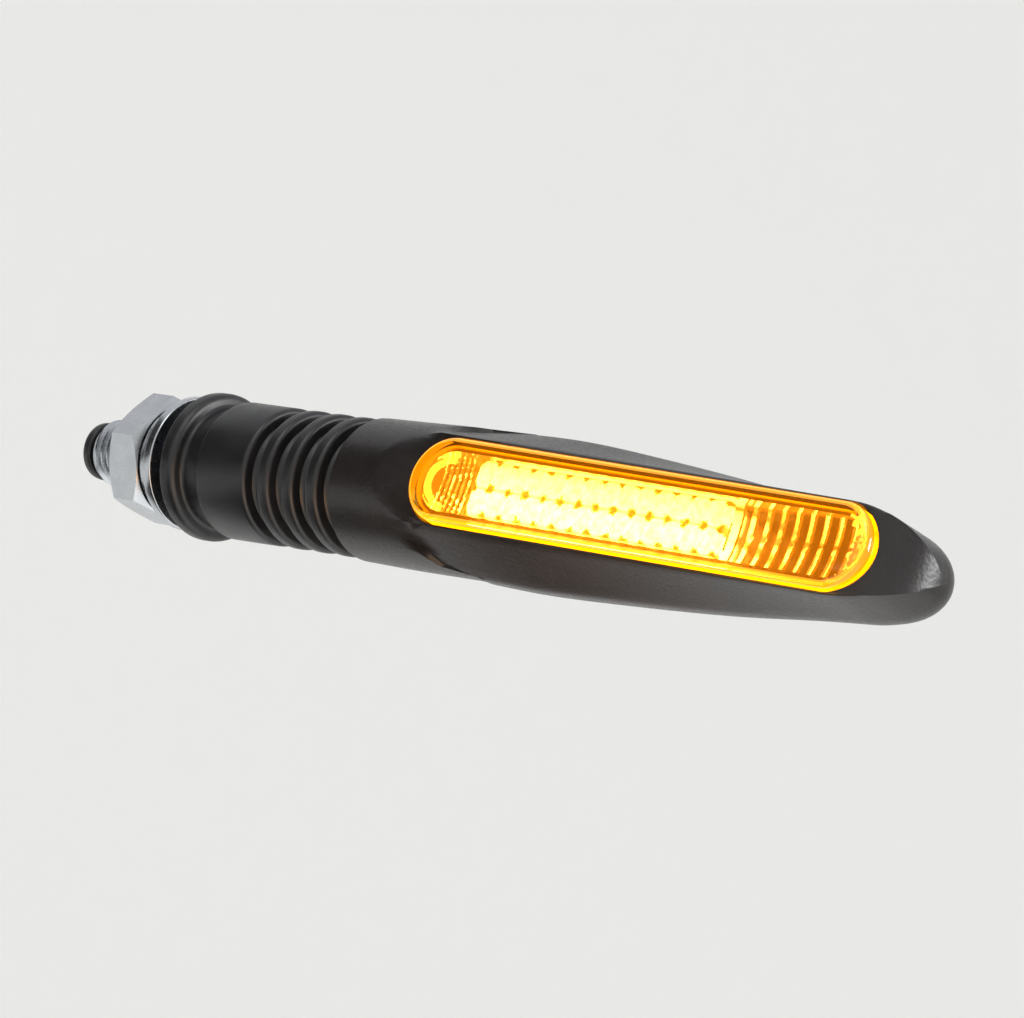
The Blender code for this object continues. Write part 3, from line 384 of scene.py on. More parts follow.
@dataclass(frozen=True)
class LitOptic(Finish):
    """Clear PMMA cells filled with LED light: white-yellow cells with orange dots at their corners."""

    cell: tuple[float, float] = (3.25 * MM, 4.0 * MM)
    centre: tuple[float, float, float] = (0.0, 0.0, 0.0)
    turn: float = 0.0
    half_height: float = 4.0 * MM
    core: str = "#fff2dc"
    corner: str = "#ff8a10"
    strength: float = 17.0
    dot: tuple[float, float] = (0.35 * MM, 0.95 * MM)   # inner and outer radius of a corner's dot
    dim_share: float = 0.06          # light left at a cell's corner
    seam_share: float = 0.55         # light left between two rows
    top_share: float = 0.38          # light of the upper row's far edge

    def dress(self, surface: Surface) -> None:
        """Sets the light of each cell from its distance to the cell's corners and the bar's edge.

        Args:
            surface: the material's nodes.
        """
        placed = add_node(surface.tree, "ShaderNodeMapping", {"vector_type": "TEXTURE"},
                          {"Vector": surface.place(), "Location": self.centre,
                           "Rotation": (0.0, 0.0, self.turn)})
        parts = add_node(surface.tree, "ShaderNodeSeparateXYZ", None, {"Vector": placed.outputs["Vector"]})
        across = surface.math("PINGPONG", parts.outputs["X"], 0.5 * self.cell[0])
        upward = surface.math("PINGPONG", parts.outputs["Z"], 0.5 * self.cell[1])
        corner = surface.math("SQRT", surface.math("ADD", surface.math("MULTIPLY", across, across),
                                                   surface.math("MULTIPLY", upward, upward)))
        ragged = surface.spread(surface.grain(0.7 * MM), -0.3 * MM, 0.3 * MM)
        near = surface.ramp(surface.math("ADD", corner, ragged), self.dot, (0.0, 1.0), "SMOOTHSTEP")
        seam = surface.ramp(upward, (0.0, 0.45 * MM), (self.seam_share, 1.0), "SMOOTHSTEP")
        light = surface.math("MULTIPLY", near, seam)
        power = surface.ramp(light, (0.0, 1.0), (self.dim_share * self.strength, self.strength))
        row = surface.ramp(parts.outputs["Z"], (-0.3 * self.half_height, self.half_height),
                           (1.0, self.top_share))
        streak = surface.spread(surface.grain(0.9 * MM), 0.55, 1.1)
        shade = surface.math("MULTIPLY", row, streak)
        surface.set({"Emission Color": surface.blend(light, self.corner, self.core),
                     "Emission Strength": surface.math("MULTIPLY", power, shade),
                     "Base Color": srgb("#fff4dc"), "Roughness": 0.08, "IOR": ACRYLIC_IOR})


@dataclass(frozen=True)
class AluminisedReflector(Finish):
    """Vacuum-metallised plastic: a thin bright mirror layer, a little hazy, with a painted glow that stands
    in for the lamp's light reflected in it.
    """

    glow: str = "#ffb347"
    glow_strength: float = 0.3
    metal: str = "#eceae4"

    def dress(self, surface: Surface) -> None:
        """Sets a mirror with faint haze and a weak painted glow.

        Args:
            surface: the material's nodes.
        """
        surface.set({"Base Color": srgb(self.metal), "Metallic": 1.0,
                     "Roughness": surface.spread(surface.grain(2 * MM), 0.10, 0.20),
                     "Emission Color": srgb(self.glow), "Emission Strength": self.glow_strength})


@dataclass(frozen=True)
class SolderMask(Finish):
    """Green solder mask over a glass-epoxy board, with copper tracks that show as paler bands."""

    mask: str = "#0c3f22"
    track: str = "#1f6b38"
    track_pitch: float = 2.4 * MM

    def dress(self, surface: Surface) -> None:
        """Sets bands of covered copper and the mask's gloss.

        Args:
            surface: the material's nodes.
        """
        bands = add_node(surface.tree, "ShaderNodeTexBrick", {"offset": 0.35},
                         {"Vector": surface.place(), "Scale": 1.0 / self.track_pitch,
                          "Color1": srgb(self.mask), "Color2": srgb(self.mask), "Mortar": srgb(self.track),
                          "Mortar Size": 0.09, "Brick Width": 1.6, "Row Height": 0.5})
        surface.set({"Base Color": bands.outputs["Color"],
                     "Roughness": surface.spread(surface.grain(0.8 * MM), 0.28, 0.42),
                     "Normal": surface.bump(bands.outputs["Fac"], 0.035 * MM, 0.5)})


@dataclass(frozen=True)
class LitPhosphor(Finish):
    """Yellow phosphor in silicone over an LED die: glows white-yellow when lit."""

    dark: str = "#e3b93c"
    light: str = "#f2d060"
    glow: str = "#ffe6a8"
    glow_strength: float = 20.0

    def dress(self, surface: Surface) -> None:
        """Sets a grainy yellow with a strong glow.

        Args:
            surface: the material's nodes.
        """
        surface.set({"Base Color": surface.blend(surface.grain(0.15 * MM), self.dark, self.light),
                     "Roughness": 0.25, "Emission Color": srgb(self.glow),
                     "Emission Strength": self.glow_strength})


CASE_GRAIN = (0.3 * MM, 0.01 * MM, 0.4)
RUBBER = MouldedRubber("epdm_rubber_moulded")
HOUSING_ABS = TexturedAbs("abs_textured_dark_grey")
# The lens's glow is painted light standing in for LED light scattered in the acrylic: faint on its face,
# strong on its edges.
AMBER = AmberAcrylic("pmma_amber_polished")
AMBER_EDGE = AmberAcrylic("pmma_amber_edge_lit", 0.95)
# The reflector's glow is painted light: a weak warm reflection of the lamp all over, and a strong painted
# reflection of the LED strip on its crescents.
MIRROR = AluminisedReflector("plastic_vacuum_aluminised")
MIRROR_LIT = AluminisedReflector("plastic_vacuum_aluminised_lit", "#ffe9a0", 2.2)
STEEL = ZincPlatedSteel("steel_zinc_plated")
BOARD = SolderMask("glass_epoxy_solder_mask")
BLACK_EPOXY = MouldedEpoxy("epoxy_compound_black")
TAN_CASE = MouldedEpoxy("tantalum_case_tan", "#a8742c", "#c79243", CASE_GRAIN[0], grain=CASE_GRAIN)
LED_CASE = MouldedEpoxy("led_case_white_polyamide", "#d9d5c8", "#efece2", CASE_GRAIN[0], grain=CASE_GRAIN)
PHOSPHOR = LitPhosphor("led_phosphor_lit")
BLACK_SHEATH = WireSheath("pvc_sheath_black")
AMBER_SHEATH = WireSheath("pvc_sheath_amber", "#c9600c", "#d9761c")


# ---------------------------------------------------------------- mesh helpers

def finish_piece(bm: BMesh, name: str, finish: Finish, body: Body | None,
                 replaced: tuple[str, ...] = (), sharp: float = 35.0) -> Object:
    """Turns a bmesh into a finished piece that rides on a body.

    Args:
        bm: the piece in the shared frame; it is freed.
        name: name of the piece.
        finish: its finish.
        body: the body that it rides on, or None for a piece that stays unattached.
        replaced: CAD nodes that it stands for.
        sharp: edges that turn more than this many degrees stay sharp.

    Returns:
        The new object.
    """
    bmesh.ops.recalc_face_normals(bm, faces=bm.faces[:])
    mesh = bpy.data.meshes.new(name)
    bm.to_mesh(mesh)
    bm.free()
    mesh.materials.append(finish.material())
    mesh.shade_smooth()
    mesh.set_sharp_from_angle(angle=math.radians(sharp))
    piece = bpy.data.objects.new(name, mesh)
    bpy.context.scene.collection.objects.link(piece)
    if body is not None:
        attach(piece, body.value)
    if replaced:
        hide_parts(*replaced)
    LOG.info("%s: %d faces on %s", name, len(mesh.polygons), body.value if body else "two bodies")
    return piece


def turned(corners: list[tuple[float, float, float]], steps: int = 96, segments: int = 5,
           angle: float = math.tau, rise: float = 0.0) -> BMesh:
    """Turns a closed outline about the X axis, with each corner rounded by its own radius.

    Args:
        corners: place along X, radius from the axis, and rounding of each corner.
        steps: steps round the axis.
        segments: segments in each rounding.
        angle: how far the outline is turned.
        rise: how far it moves along X meanwhile.

    Returns:
        The closed body.
    """
    bm = bmesh.new()
    verts = [bm.verts.new((place, radius, 0.0)) for place, radius, _ in corners]
    bm.faces.new(verts)
    for rounding in sorted({corner[2] for corner in corners if corner[2] > 0}):
        chosen = [vert for vert, corner in zip(verts, corners) if corner[2] == rounding]
        bmesh.ops.bevel(bm, geom=chosen, offset=rounding, segments=segments, affect="VERTICES",
                        profile=0.5, material=-1)
    closed = abs(angle - math.tau) < 1e-6 and rise == 0.0
    if closed:
        bmesh.ops.delete(bm, geom=bm.faces[:], context="FACES_ONLY")
    bmesh.ops.spin(bm, geom=bm.verts[:] + bm.edges[:] + bm.faces[:], cent=(0, 0, 0), axis=(1, 0, 0),
                   dvec=(rise / steps, 0, 0), angle=angle, steps=steps, use_merge=closed)
    return bm


def ring_x(node: str) -> tuple[float, float, float]:
    """Start, end and outer radius of a round CAD node about the X axis.

    Args:
        node: name of the node.

    Returns:
        Lowest X, highest X and the radius in Z.
    """
    low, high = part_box(node)
    return low.x, high.x, high.z


def extrude_to(bm: BMesh, faces: list, depth: float, keep: bool = True) -> None:
    """Extrudes faces to a depth.

    Args:
        bm: the bmesh, in the head's own frame.
        faces: the faces.
        depth: place along Y of the new faces.
        keep: whether the first faces stay, as the body's other side.
    """
    grown = bmesh.ops.extrude_face_region(bm, geom=faces, use_keep_orig=keep)["geom"]
    for item in grown:
        if isinstance(item, BMVert):
            item.co.y = depth


def capsule_plate(half_height: float, straight: float, near: float, far: float) -> BMesh:
    """A closed plate with round ends, from a circle whose halves are moved apart.

    Args:
        half_height: half its height.
        straight: length between the centres of its round ends.
        near: first depth.
        far: second depth.

    Returns:
        The plate in the head's own frame.
    """
    bm = bmesh.new()
    segments = 48
    verts = bmesh.ops.create_circle(bm, cap_ends=True, segments=segments, radius=half_height,
                                    matrix=Matrix.Rotation(QUARTER_TURN, 4, "X"))["verts"]
    bmesh.ops.rotate(bm, verts=verts, cent=(0, 0, 0), matrix=Matrix.Rotation(math.pi / segments, 3, "Y"))
    for vert in verts:
        vert.co.x += math.copysign(0.5 * straight, vert.co.x)
        vert.co.y = near
    extrude_to(bm, bm.faces[:], far)
    bmesh.ops.recalc_face_normals(bm, faces=bm.faces[:])
    return bm


def cut(bm: BMesh, tools: list[tuple[BMesh, str]]) -> BMesh:
    """Applies Booleans to a body.

    Args:
        bm: the body; it is freed.
        tools: each tool's bmesh, which is freed, and the operation.

    Returns:
        The result.
    """
    bmesh.ops.recalc_face_normals(bm, faces=bm.faces[:])
    held = []
    for index, (part, _) in enumerate([(bm, "")] + tools):
        bmesh.ops.recalc_face_normals(part, faces=part.faces[:])
        mesh = bpy.data.meshes.new(f"working_{index}")
        part.to_mesh(mesh)
        part.free()
        thing = bpy.data.objects.new(f"working_{index}", mesh)
        bpy.context.scene.collection.objects.link(thing)
        held.append(thing)
    for thing, (_, operation) in zip(held[1:], tools):
        modifier = held[0].modifiers.new(operation.lower(), "BOOLEAN")
        modifier.operation = operation
        modifier.solver = "EXACT"
        modifier.object = thing
    bpy.context.view_layer.update()
    solid = held[0].evaluated_get(bpy.context.evaluated_depsgraph_get())
    result = bmesh.new()
    result.from_mesh(solid.to_mesh())
    solid.to_mesh_clear()
    for thing in held:
        mesh = thing.data
        bpy.data.objects.remove(thing)
        bpy.data.meshes.remove(mesh)
    bmesh.ops.remove_doubles(result, verts=result.verts[:], dist=0.001 * MM)
    return result


def cylinder_x(radius: float, start: float, end: float, segments: int = 64) -> BMesh:
    """A closed cylinder along the X axis.

    Args:
        radius: its radius.
        start: its first place.
        end: its last place.
        segments: segments round it.

    Returns:
        The cylinder.
    """
    bm = bmesh.new()
    place = Matrix.Translation((0.5 * (start + end), 0, 0)) @ Matrix.Rotation(QUARTER_TURN, 4, "Y")
    bmesh.ops.create_cone(bm, cap_ends=True, segments=segments, radius1=radius, radius2=radius,
                          depth=end - start, matrix=place)
    return bm


# ---------------------------------------------------------------- fixing

@dataclass
class StemFixing:
    """Hollow threaded stud with its collar, washers, nut, and the grommet for the leads."""

    thread_pitch: float = 1.25 * MM
    thread_depth: float = 0.62 * MM
    stud_bore: float = 3.0 * MM
    collar_radius: float = 7.0 * MM
    washer_bore: float = 5.3 * MM
    washer_edge: float = 0.25 * MM
    stud_radius: float = 5.0 * MM
    collar_length: float = 2.4 * MM
    turn_steps: int = 40
    stud_tip: tuple[float, float] = (0.7 * MM, 0.5 * MM)        # length and height of its chamfer
    thread_margins: tuple[float, float] = (1.1 * MM, 0.4 * MM)  # free of thread at the tip and the collar
    split_angle: float = math.radians(352.0)
    split_rise: float = 0.25 * MM
    nut_bore: float = 4.75 * MM
    nut_mouth: float = 5.1 * MM
    grommet_plug: tuple[float, float] = (7.0 * MM, 2.7 * MM)    # length and radius inside the stud
    grommet_hole: float = 1.6 * MM

    def build(self) -> None:
        """Builds every piece of the fixing."""
        self.stud()
        self.flat_washer()
        self.lock_washer()
        self.nut()
        self.grommet()

    def stud(self) -> None:
        """Turns the stud's core and collar and winds the thread's ridge round it."""
        start, end, _ = ring_x("threaded_stud")
        collar = self.collar_length
        core_radius = self.stud_radius - self.thread_depth
        bm = turned([(end, self.collar_radius, 0.3 * MM), (end - collar, self.collar_radius, 0.3 * MM),
                     (end - collar, core_radius, 0.0), (start + self.stud_tip[0], core_radius, 0.0),
                     (start, core_radius - self.stud_tip[1], 0.0), (start, self.stud_bore, 0.2 * MM),
                     (end, self.stud_bore, 0.0)], segments=3)
        self.wind_thread(bm, core_radius, start + self.thread_margins[0],
                         end - collar - self.thread_margins[1])
        finish_piece(bm, "stud_threaded", STEEL, Body.BASE, ("threaded_stud",), 50.0)

    def wind_thread(self, bm: BMesh, radius: float, start: float, end: float) -> None:
        """Winds a rounded ridge as a closed helix.

        Args:
            bm: the bmesh that it is added to.
            radius: radius of the stud's core.
            start: place of the thread's first turn.
            end: place of its last turn.
        """
        half = 0.44 * self.thread_pitch
        ridge = bmesh.new()
        corners = [(start - half, radius - 0.1 * MM), (start - 0.12 * MM, radius + self.thread_depth),
                   (start + 0.12 * MM, radius + self.thread_depth), (start + half, radius - 0.1 * MM)]
        ridge.faces.new([ridge.verts.new((place, reach, 0.0)) for place, reach in corners])
        turns = math.floor((end - start - 2 * half) / self.thread_pitch)
        bmesh.ops.spin(ridge, geom=ridge.verts[:] + ridge.edges[:] + ridge.faces[:], cent=(0, 0, 0),
                       axis=(1, 0, 0), dvec=(self.thread_pitch / self.turn_steps, 0, 0),
                       angle=math.tau * turns, steps=self.turn_steps * turns, use_merge=False)
        bmesh.ops.recalc_face_normals(ridge, faces=ridge.faces[:])
        held = bpy.data.meshes.new("thread_ridge")
        ridge.to_mesh(held)
        ridge.free()
        bm.from_mesh(held)
        bpy.data.meshes.remove(held)

    def flat_washer(self) -> None:
        """Turns the flat washer with softly stamped edges."""
        start, end, radius = ring_x("flat_washer")
        edge = self.washer_edge
        bm = turned([(start, radius, edge), (end, radius, edge), (end, self.washer_bore, 0.1 * MM),
                     (start, self.washer_bore, 0.1 * MM)], segments=4)
        finish_piece(bm, "washer_flat", STEEL, Body.WASHERS, ("flat_washer",), 50.0)

    def lock_washer(self) -> None:
        """Turns the split washer as one open turn of a short helix."""
        start, end, radius = ring_x("lock_washer")
        high = end - self.split_rise
        edge = 0.2 * MM
        bm = turned([(start, radius, edge), (high, radius, edge), (high, self.washer_bore, edge),
                     (start, self.washer_bore, edge)], segments=3, angle=self.split_angle,
                    rise=self.split_rise)
        bmesh.ops.rotate(bm, verts=bm.verts[:], cent=(0, 0, 0),
                         matrix=Matrix.Rotation(math.radians(94.0), 3, "X"))
        finish_piece(bm, "washer_split_lock", STEEL, Body.WASHERS, ("lock_washer",), 50.0)

    def nut(self) -> None:
        """Cuts a hexagon to its chamfered round blank, bored for the stud."""
        start, end, _ = ring_x("hex_nut")
        low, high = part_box("hex_nut")
        across = min(high.y - low.y, high.z - low.z)
        bm = cylinder_x(across / math.sqrt(3), start, end, 6)
        corner = across / math.sqrt(3) + 0.05 * MM
        flat = 0.5 * across - 0.15 * MM
        far = 0.5 * MM
        slope = (corner - flat) * 0.6
        mouth, bore = self.nut_mouth, self.nut_bore
        blank = turned([(start, flat, 0.0), (start + slope, corner, 0.0), (end - slope, corner, 0.0),
                        (end, flat, 0.0), (end + far, flat, 0.0), (end + far, mouth, 0.0),
                        (end - far, bore, 0.0), (start + far, bore, 0.0),
                        (start - far, mouth, 0.0), (start - far, flat, 0.0)])
        bm = cut(bm, [(blank, "INTERSECT")])
        finish_piece(bm, "nut_hexagon", STEEL, Body.NUT, ("hex_nut",), 25.0)

    def grommet(self) -> None:
        """Turns the rubber grommet with a rounded lip round the leads' hole."""
        start, end, radius = ring_x("wire_grommet")
        length, plug = self.grommet_plug
        lip = end - length
        bm = turned([(end, plug, 0.3 * MM), (lip, plug, 0.1 * MM), (lip, radius, 0.4 * MM),
                     (start, radius - 0.2 * MM, 0.7 * MM), (start, self.grommet_hole, 0.4 * MM),
                     (end, self.grommet_hole, 0.2 * MM)])
        finish_piece(bm, "grommet_rubber", RUBBER, Body.BASE, ("wire_grommet",))


# ---------------------------------------------------------------- stem

@dataclass
class RubberStem:
    """Moulded rubber stem: flanged base, three rings, and the thinner core in the four grooves."""

    channel: float = 2.5 * MM
    rim: float = 0.75 * MM
    groove_foot: float = 0.55 * MM
    core_radius: float = 7.8 * MM
    waist_radius: float = 9.0 * MM
    flange_radius: float = 11.0 * MM
    flange_length: float = 2.6 * MM
    waist_end: float = 6.8 * MM
    collar_pocket: tuple[float, float, float] = (2.1 * MM, 5.1 * MM, 7.3 * MM)
    stud_hole: float = 5.3 * MM

    def build(self) -> None:
        """Builds the base, the rings and the core between them."""
        self.base()
        bodies = [Body.BASE, Body.RING_1, Body.RING_2, Body.RING_3, Body.HEAD]
        for number, body in enumerate(bodies[1:4], start=1):
            self.ring(number, body)
        for number, (before, after) in enumerate(zip(bodies, bodies[1:]), start=1):
            self.core(number, before, after)

    def base(self) -> None:
        """Turns the base with its flange, filleted waist and the pocket for the stud's collar."""
        _, end, _ = ring_x("stem_base")
        radius = ring_x("stem_ring_1")[2]
        pocket_start, pocket_end, pocket_radius = self.collar_pocket
        bm = turned([(0.0, self.flange_radius, 0.5 * MM), (self.flange_length, self.flange_radius, 0.9 * MM),
                     (self.flange_length + 0.3 * MM, self.waist_radius, 0.6 * MM),
                     (self.waist_end, self.waist_radius, 0.6 * MM), (self.waist_end, radius, 0.55 * MM),
                     (end, radius, self.rim), (end, self.channel, 0.0), (pocket_end, self.channel, 0.0),
                     (pocket_end, pocket_radius, 0.0), (pocket_start, pocket_radius, 0.0),
                     (pocket_start, self.stud_hole, 0.0), (0.0, self.stud_hole, 0.0)], steps=128)
        finish_piece(bm, "stem_base_moulding", RUBBER, Body.BASE, ("stem_base",))

    def ring(self, number: int, body: Body) -> None:
        """Turns one ring with round rims.

        Args:
            number: its number from the base.
            body: the body that it rides on.
        """
        start, end, radius = ring_x(f"stem_ring_{number}")
        bm = turned([(start, radius, self.rim), (end, radius, self.rim), (end, self.channel, 0.0),
                     (start, self.channel, 0.0)], steps=128)
        finish_piece(bm, f"stem_ring_{number}_moulding", RUBBER, body,
                     (f"stem_ring_{number}",))

    def core(self, number: int, before: Body, after: Body) -> None:
        """Turns the core in one groove, flared at both ends.

        Args:
            number: number of the groove from the base.
            before: the body on its base side; not used.
            after: the body on its head side; not used.
        """
        start, end, _ = ring_x(f"stem_web_{number}")
        start -= GAP
        end += GAP
        foot = self.core_radius + self.groove_foot
        inner = [start + (end - start) * share for share in (0.8, 0.6, 0.4, 0.2)]
        outer = [(start, foot, 0.0), (start + self.groove_foot, self.core_radius, 0.45 * MM),
                 (0.5 * (start + end), self.core_radius, 0.0),
                 (end - self.groove_foot, self.core_radius, 0.45 * MM), (end, foot, 0.0)]
        bore = [(end, self.channel, 0.0)] + [(place, self.channel, 0.0) for place in inner]
        bm = turned(outer + bore + [(start, self.channel, 0.0)], segments=4)
        piece = finish_piece(bm, f"stem_core_{number}", RUBBER, None, (f"stem_web_{number}",))
        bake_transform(piece)


# ---------------------------------------------------------------- lamp head

@dataclass
class HeadShape:
    """Form of the blade and the frame of its flat front, which carries the lens."""

    neck_start: float = 34.6 * MM
    bend_start: float = 46.0 * MM
    bend_end: float = 54.0 * MM
    sweep: float = math.radians(4.0)
    length: float = 139.5 * MM
    nose_start: float = 128.0 * MM
    nose_fullness: float = 2.2
    front_depth: float = 9.3 * MM
    front_half_height: float = 7.0 * MM
    facet_start: float = 51.6 * MM
    facet_run: float = 10.0 * MM
    facet_corner: float = 2.5
    flat_bow: float = 2.6 * MM
    front_edge_drop: float = 0.3 * MM
    front_ramp: float = 4.5 * MM
    corner_ramp: float = 3.0 * MM
    facet_lip: float = 0.2 * MM
    lens_start: float = -0.1 * MM
    lens_tip_margin: float = 6.6 * MM
    lens_half_height: float = 6.43 * MM
    flat_steps: int = 6
    facet_steps: int = 6
    back_steps: int = 16
    stations: tuple[tuple[float, float, float, float], ...] = (
        (-0.139, 10.5, 0.0, 10.5), (0.0, 10.75, 0.0, 10.7), (0.171, 11.2, -1.6, 10.7),
        (0.317, 11.45, -1.8, 10.3), (0.488, 10.85, -1.4, 9.8), (0.707, 9.6, -0.8, 9.2),
        (0.902, 7.9, -0.4, 8.2), (1.049, 6.9, -0.2, 7.4))

    @property
    def lens_length(self) -> float:
        """Length of the lens."""
        return ((self.length - self.origin) / math.cos(self.sweep)) - self.lens_start - self.lens_tip_margin

    @property
    def origin(self) -> float:
        """Place on the stem's axis where the head's axis leaves it."""
        return 0.5 * (self.bend_start + self.bend_end)

    @property
    def straight(self) -> float:
        """Length between the centres of the lens's round ends."""
        return self.lens_length - 2 * self.lens_half_height

    @property
    def steps(self) -> int:
        """Steps of half of a section."""
        return self.flat_steps + self.facet_steps + self.back_steps

    def frame_matrix(self) -> Matrix:
        """Finds the frame of the front flat: X along the head, Y into it, the lens's centre at 0.

        Returns:
            Its matrix in the shared frame.
        """
        axis = Vector((math.cos(self.sweep), math.sin(self.sweep), 0))
        inward = Vector((-math.sin(self.sweep), math.cos(self.sweep), 0))
        centre = self.lens_start + 0.5 * self.lens_length
        place = Vector((self.origin, 0, 0)) + axis * centre - inward * self.front_depth
        return Matrix.Translation(place) @ Matrix.Rotation(self.sweep, 4, "Z")

    def place_in_world(self, bm: BMesh) -> BMesh:
        """Moves a mesh from the head's own frame to the shared frame."""
        bmesh.ops.transform(bm, matrix=self.frame_matrix(), verts=bm.verts[:])
        return bm

    def blade_at(self, place: float) -> list[float]:
        """Reads the blade's form on a smooth curve through its stations.

        Args:
            place: place along the stem's axis.

        Returns:
            Half height, ridge depth and back depth.
        """
        span = self.nose_start - self.bend_start
        rows = [(self.bend_start + share * span, *(value * MM for value in rest))
                for share, *rest in self.stations]
        place = min(max(place, rows[0][0]), rows[-1][0])
        index = max(i for i, row in enumerate(rows[:-1]) if row[0] <= place)
        before, after = rows[index], rows[index + 1]
        first, last = rows[max(index - 1, 0)], rows[min(index + 2, len(rows) - 1)]
        length = after[0] - before[0]
        share = (place - before[0]) / length
        values = []
        for column in (1, 2, 3):
            slope_in = (after[column] - first[column]) / (after[0] - first[0])
            slope_out = (last[column] - before[column]) / (last[0] - before[0])
            values.append((2 * share**3 - 3 * share**2 + 1) * before[column]
                          + (share**3 - 2 * share**2 + share) * length * slope_in
                          + (3 * share**2 - 2 * share**3) * after[column]
                          + (share**3 - share**2) * length * slope_out)
        return values

    def nose_scale(self, place: float) -> float:
        """1 along the blade, falling to 0 at the tip on a full quarter ellipse."""
        share = max(0.0, (place - self.nose_start) / (self.length - self.nose_start))
        return max(0.0, 1.0 - share**self.nose_fullness) ** (1 / self.nose_fullness)

    def section_point(self, place: float, step: int, faceted: bool,
                      inset: float = 0.0) -> tuple[float, float]:
        """One point of the upper half of a section.

        Args:
            place: place along the stem's axis.
            step: number of the point, from the front over the top to the back.
            faceted: True past the start of the facets, False on the round neck.
            inset: how far the point is moved in toward the axis.

        Returns:
            Depth and height of the point.
        """
        half_height, ridge, back = self.blade_at(place)
        edge = min(self.front_half_height, half_height - self.front_edge_drop)
        front = self.front_depth
        crest_step = self.flat_steps + self.facet_steps
        if step >= crest_step:
            turn = 0.5 * math.pi * (step - crest_step) / self.back_steps
            depth = ridge + (back - ridge) * math.sin(turn)
            up = half_height * math.cos(turn)
            if not faceted:
                crest = math.atan2(half_height, -ridge)
                depth = -half_height * math.cos(crest) * math.cos(turn) + back * math.sin(turn)
                up = half_height * math.sin(crest) * math.cos(turn)
        elif not faceted:
            corner = math.atan2(edge, front)
            crest = math.atan2(half_height, -ridge)
            turn = corner * step / self.flat_steps
            if step > self.flat_steps:
                turn = corner + (crest - corner) * (step - self.flat_steps) / self.facet_steps
            depth, up = -half_height * math.cos(turn), half_height * math.sin(turn)
        elif step <= self.flat_steps:
            depth, up = -front, edge * step / self.flat_steps
        else:
            share = (step - self.flat_steps) / self.facet_steps
            depth, up = -front + (ridge + front) * share, edge + (half_height - edge) * share
        scale = self.nose_scale(place)
        reach = max(math.hypot(depth, up) * scale, 1e-9)
        return depth * scale * (reach - inset) / reach, up * scale * (reach - inset) / reach

    def facet_place(self, step: int) -> float:
        """Where the facets begin on a step: later toward the ridge, in a round corner.

        Args:
            step: number of the point in the half section.

        Returns:
            Place along the stem's axis.
        """
        if step <= self.flat_steps:
            return self.facet_start - self.flat_bow * (1 - (step / self.flat_steps) ** 2)
        share = min(1.0, (step - self.flat_steps) / self.facet_steps)
        return self.facet_start + self.facet_run * (1 - (1 - share**self.facet_corner)
                                                    ** (1 / self.facet_corner))

    def ramp_place(self, step: int) -> float:
        """Where the neck begins to drop to the front flat or the facets on a step.

        Args:
            step: number of the point in the half section.

        Returns:
            Place along the stem's axis.
        """
        share = min(1.0, step / self.flat_steps)
        ramp = self.front_ramp + (self.corner_ramp - self.front_ramp) * share**2
        if step > self.flat_steps:
            share = min(1.0, (step - self.flat_steps) / self.facet_steps)
            ramp = self.corner_ramp * (1 - share) ** 2
        return self.facet_place(step) - self.facet_lip - ramp

    def to_world(self, place: float, depth: float, up: float) -> Vector:
        """Places a section's point, with the head turned backward past the bend.

        Args:
            place: place along the stem's axis.
            depth: depth of the point behind the axis.
            up: height of the point.

        Returns:
            Its position in the shared frame.
        """
        share = min(1.0, max(0.0, (place - self.bend_start) / (self.bend_end - self.bend_start)))
        turn = self.sweep * share
        shift = 0.5 * math.tan(self.sweep) * share**2 * (self.bend_end - self.bend_start)
        shift += math.tan(self.sweep) * max(0.0, place - self.bend_end)
        return Vector((place - depth * math.sin(turn), shift + depth * math.cos(turn), up))


SHAPE = HeadShape()


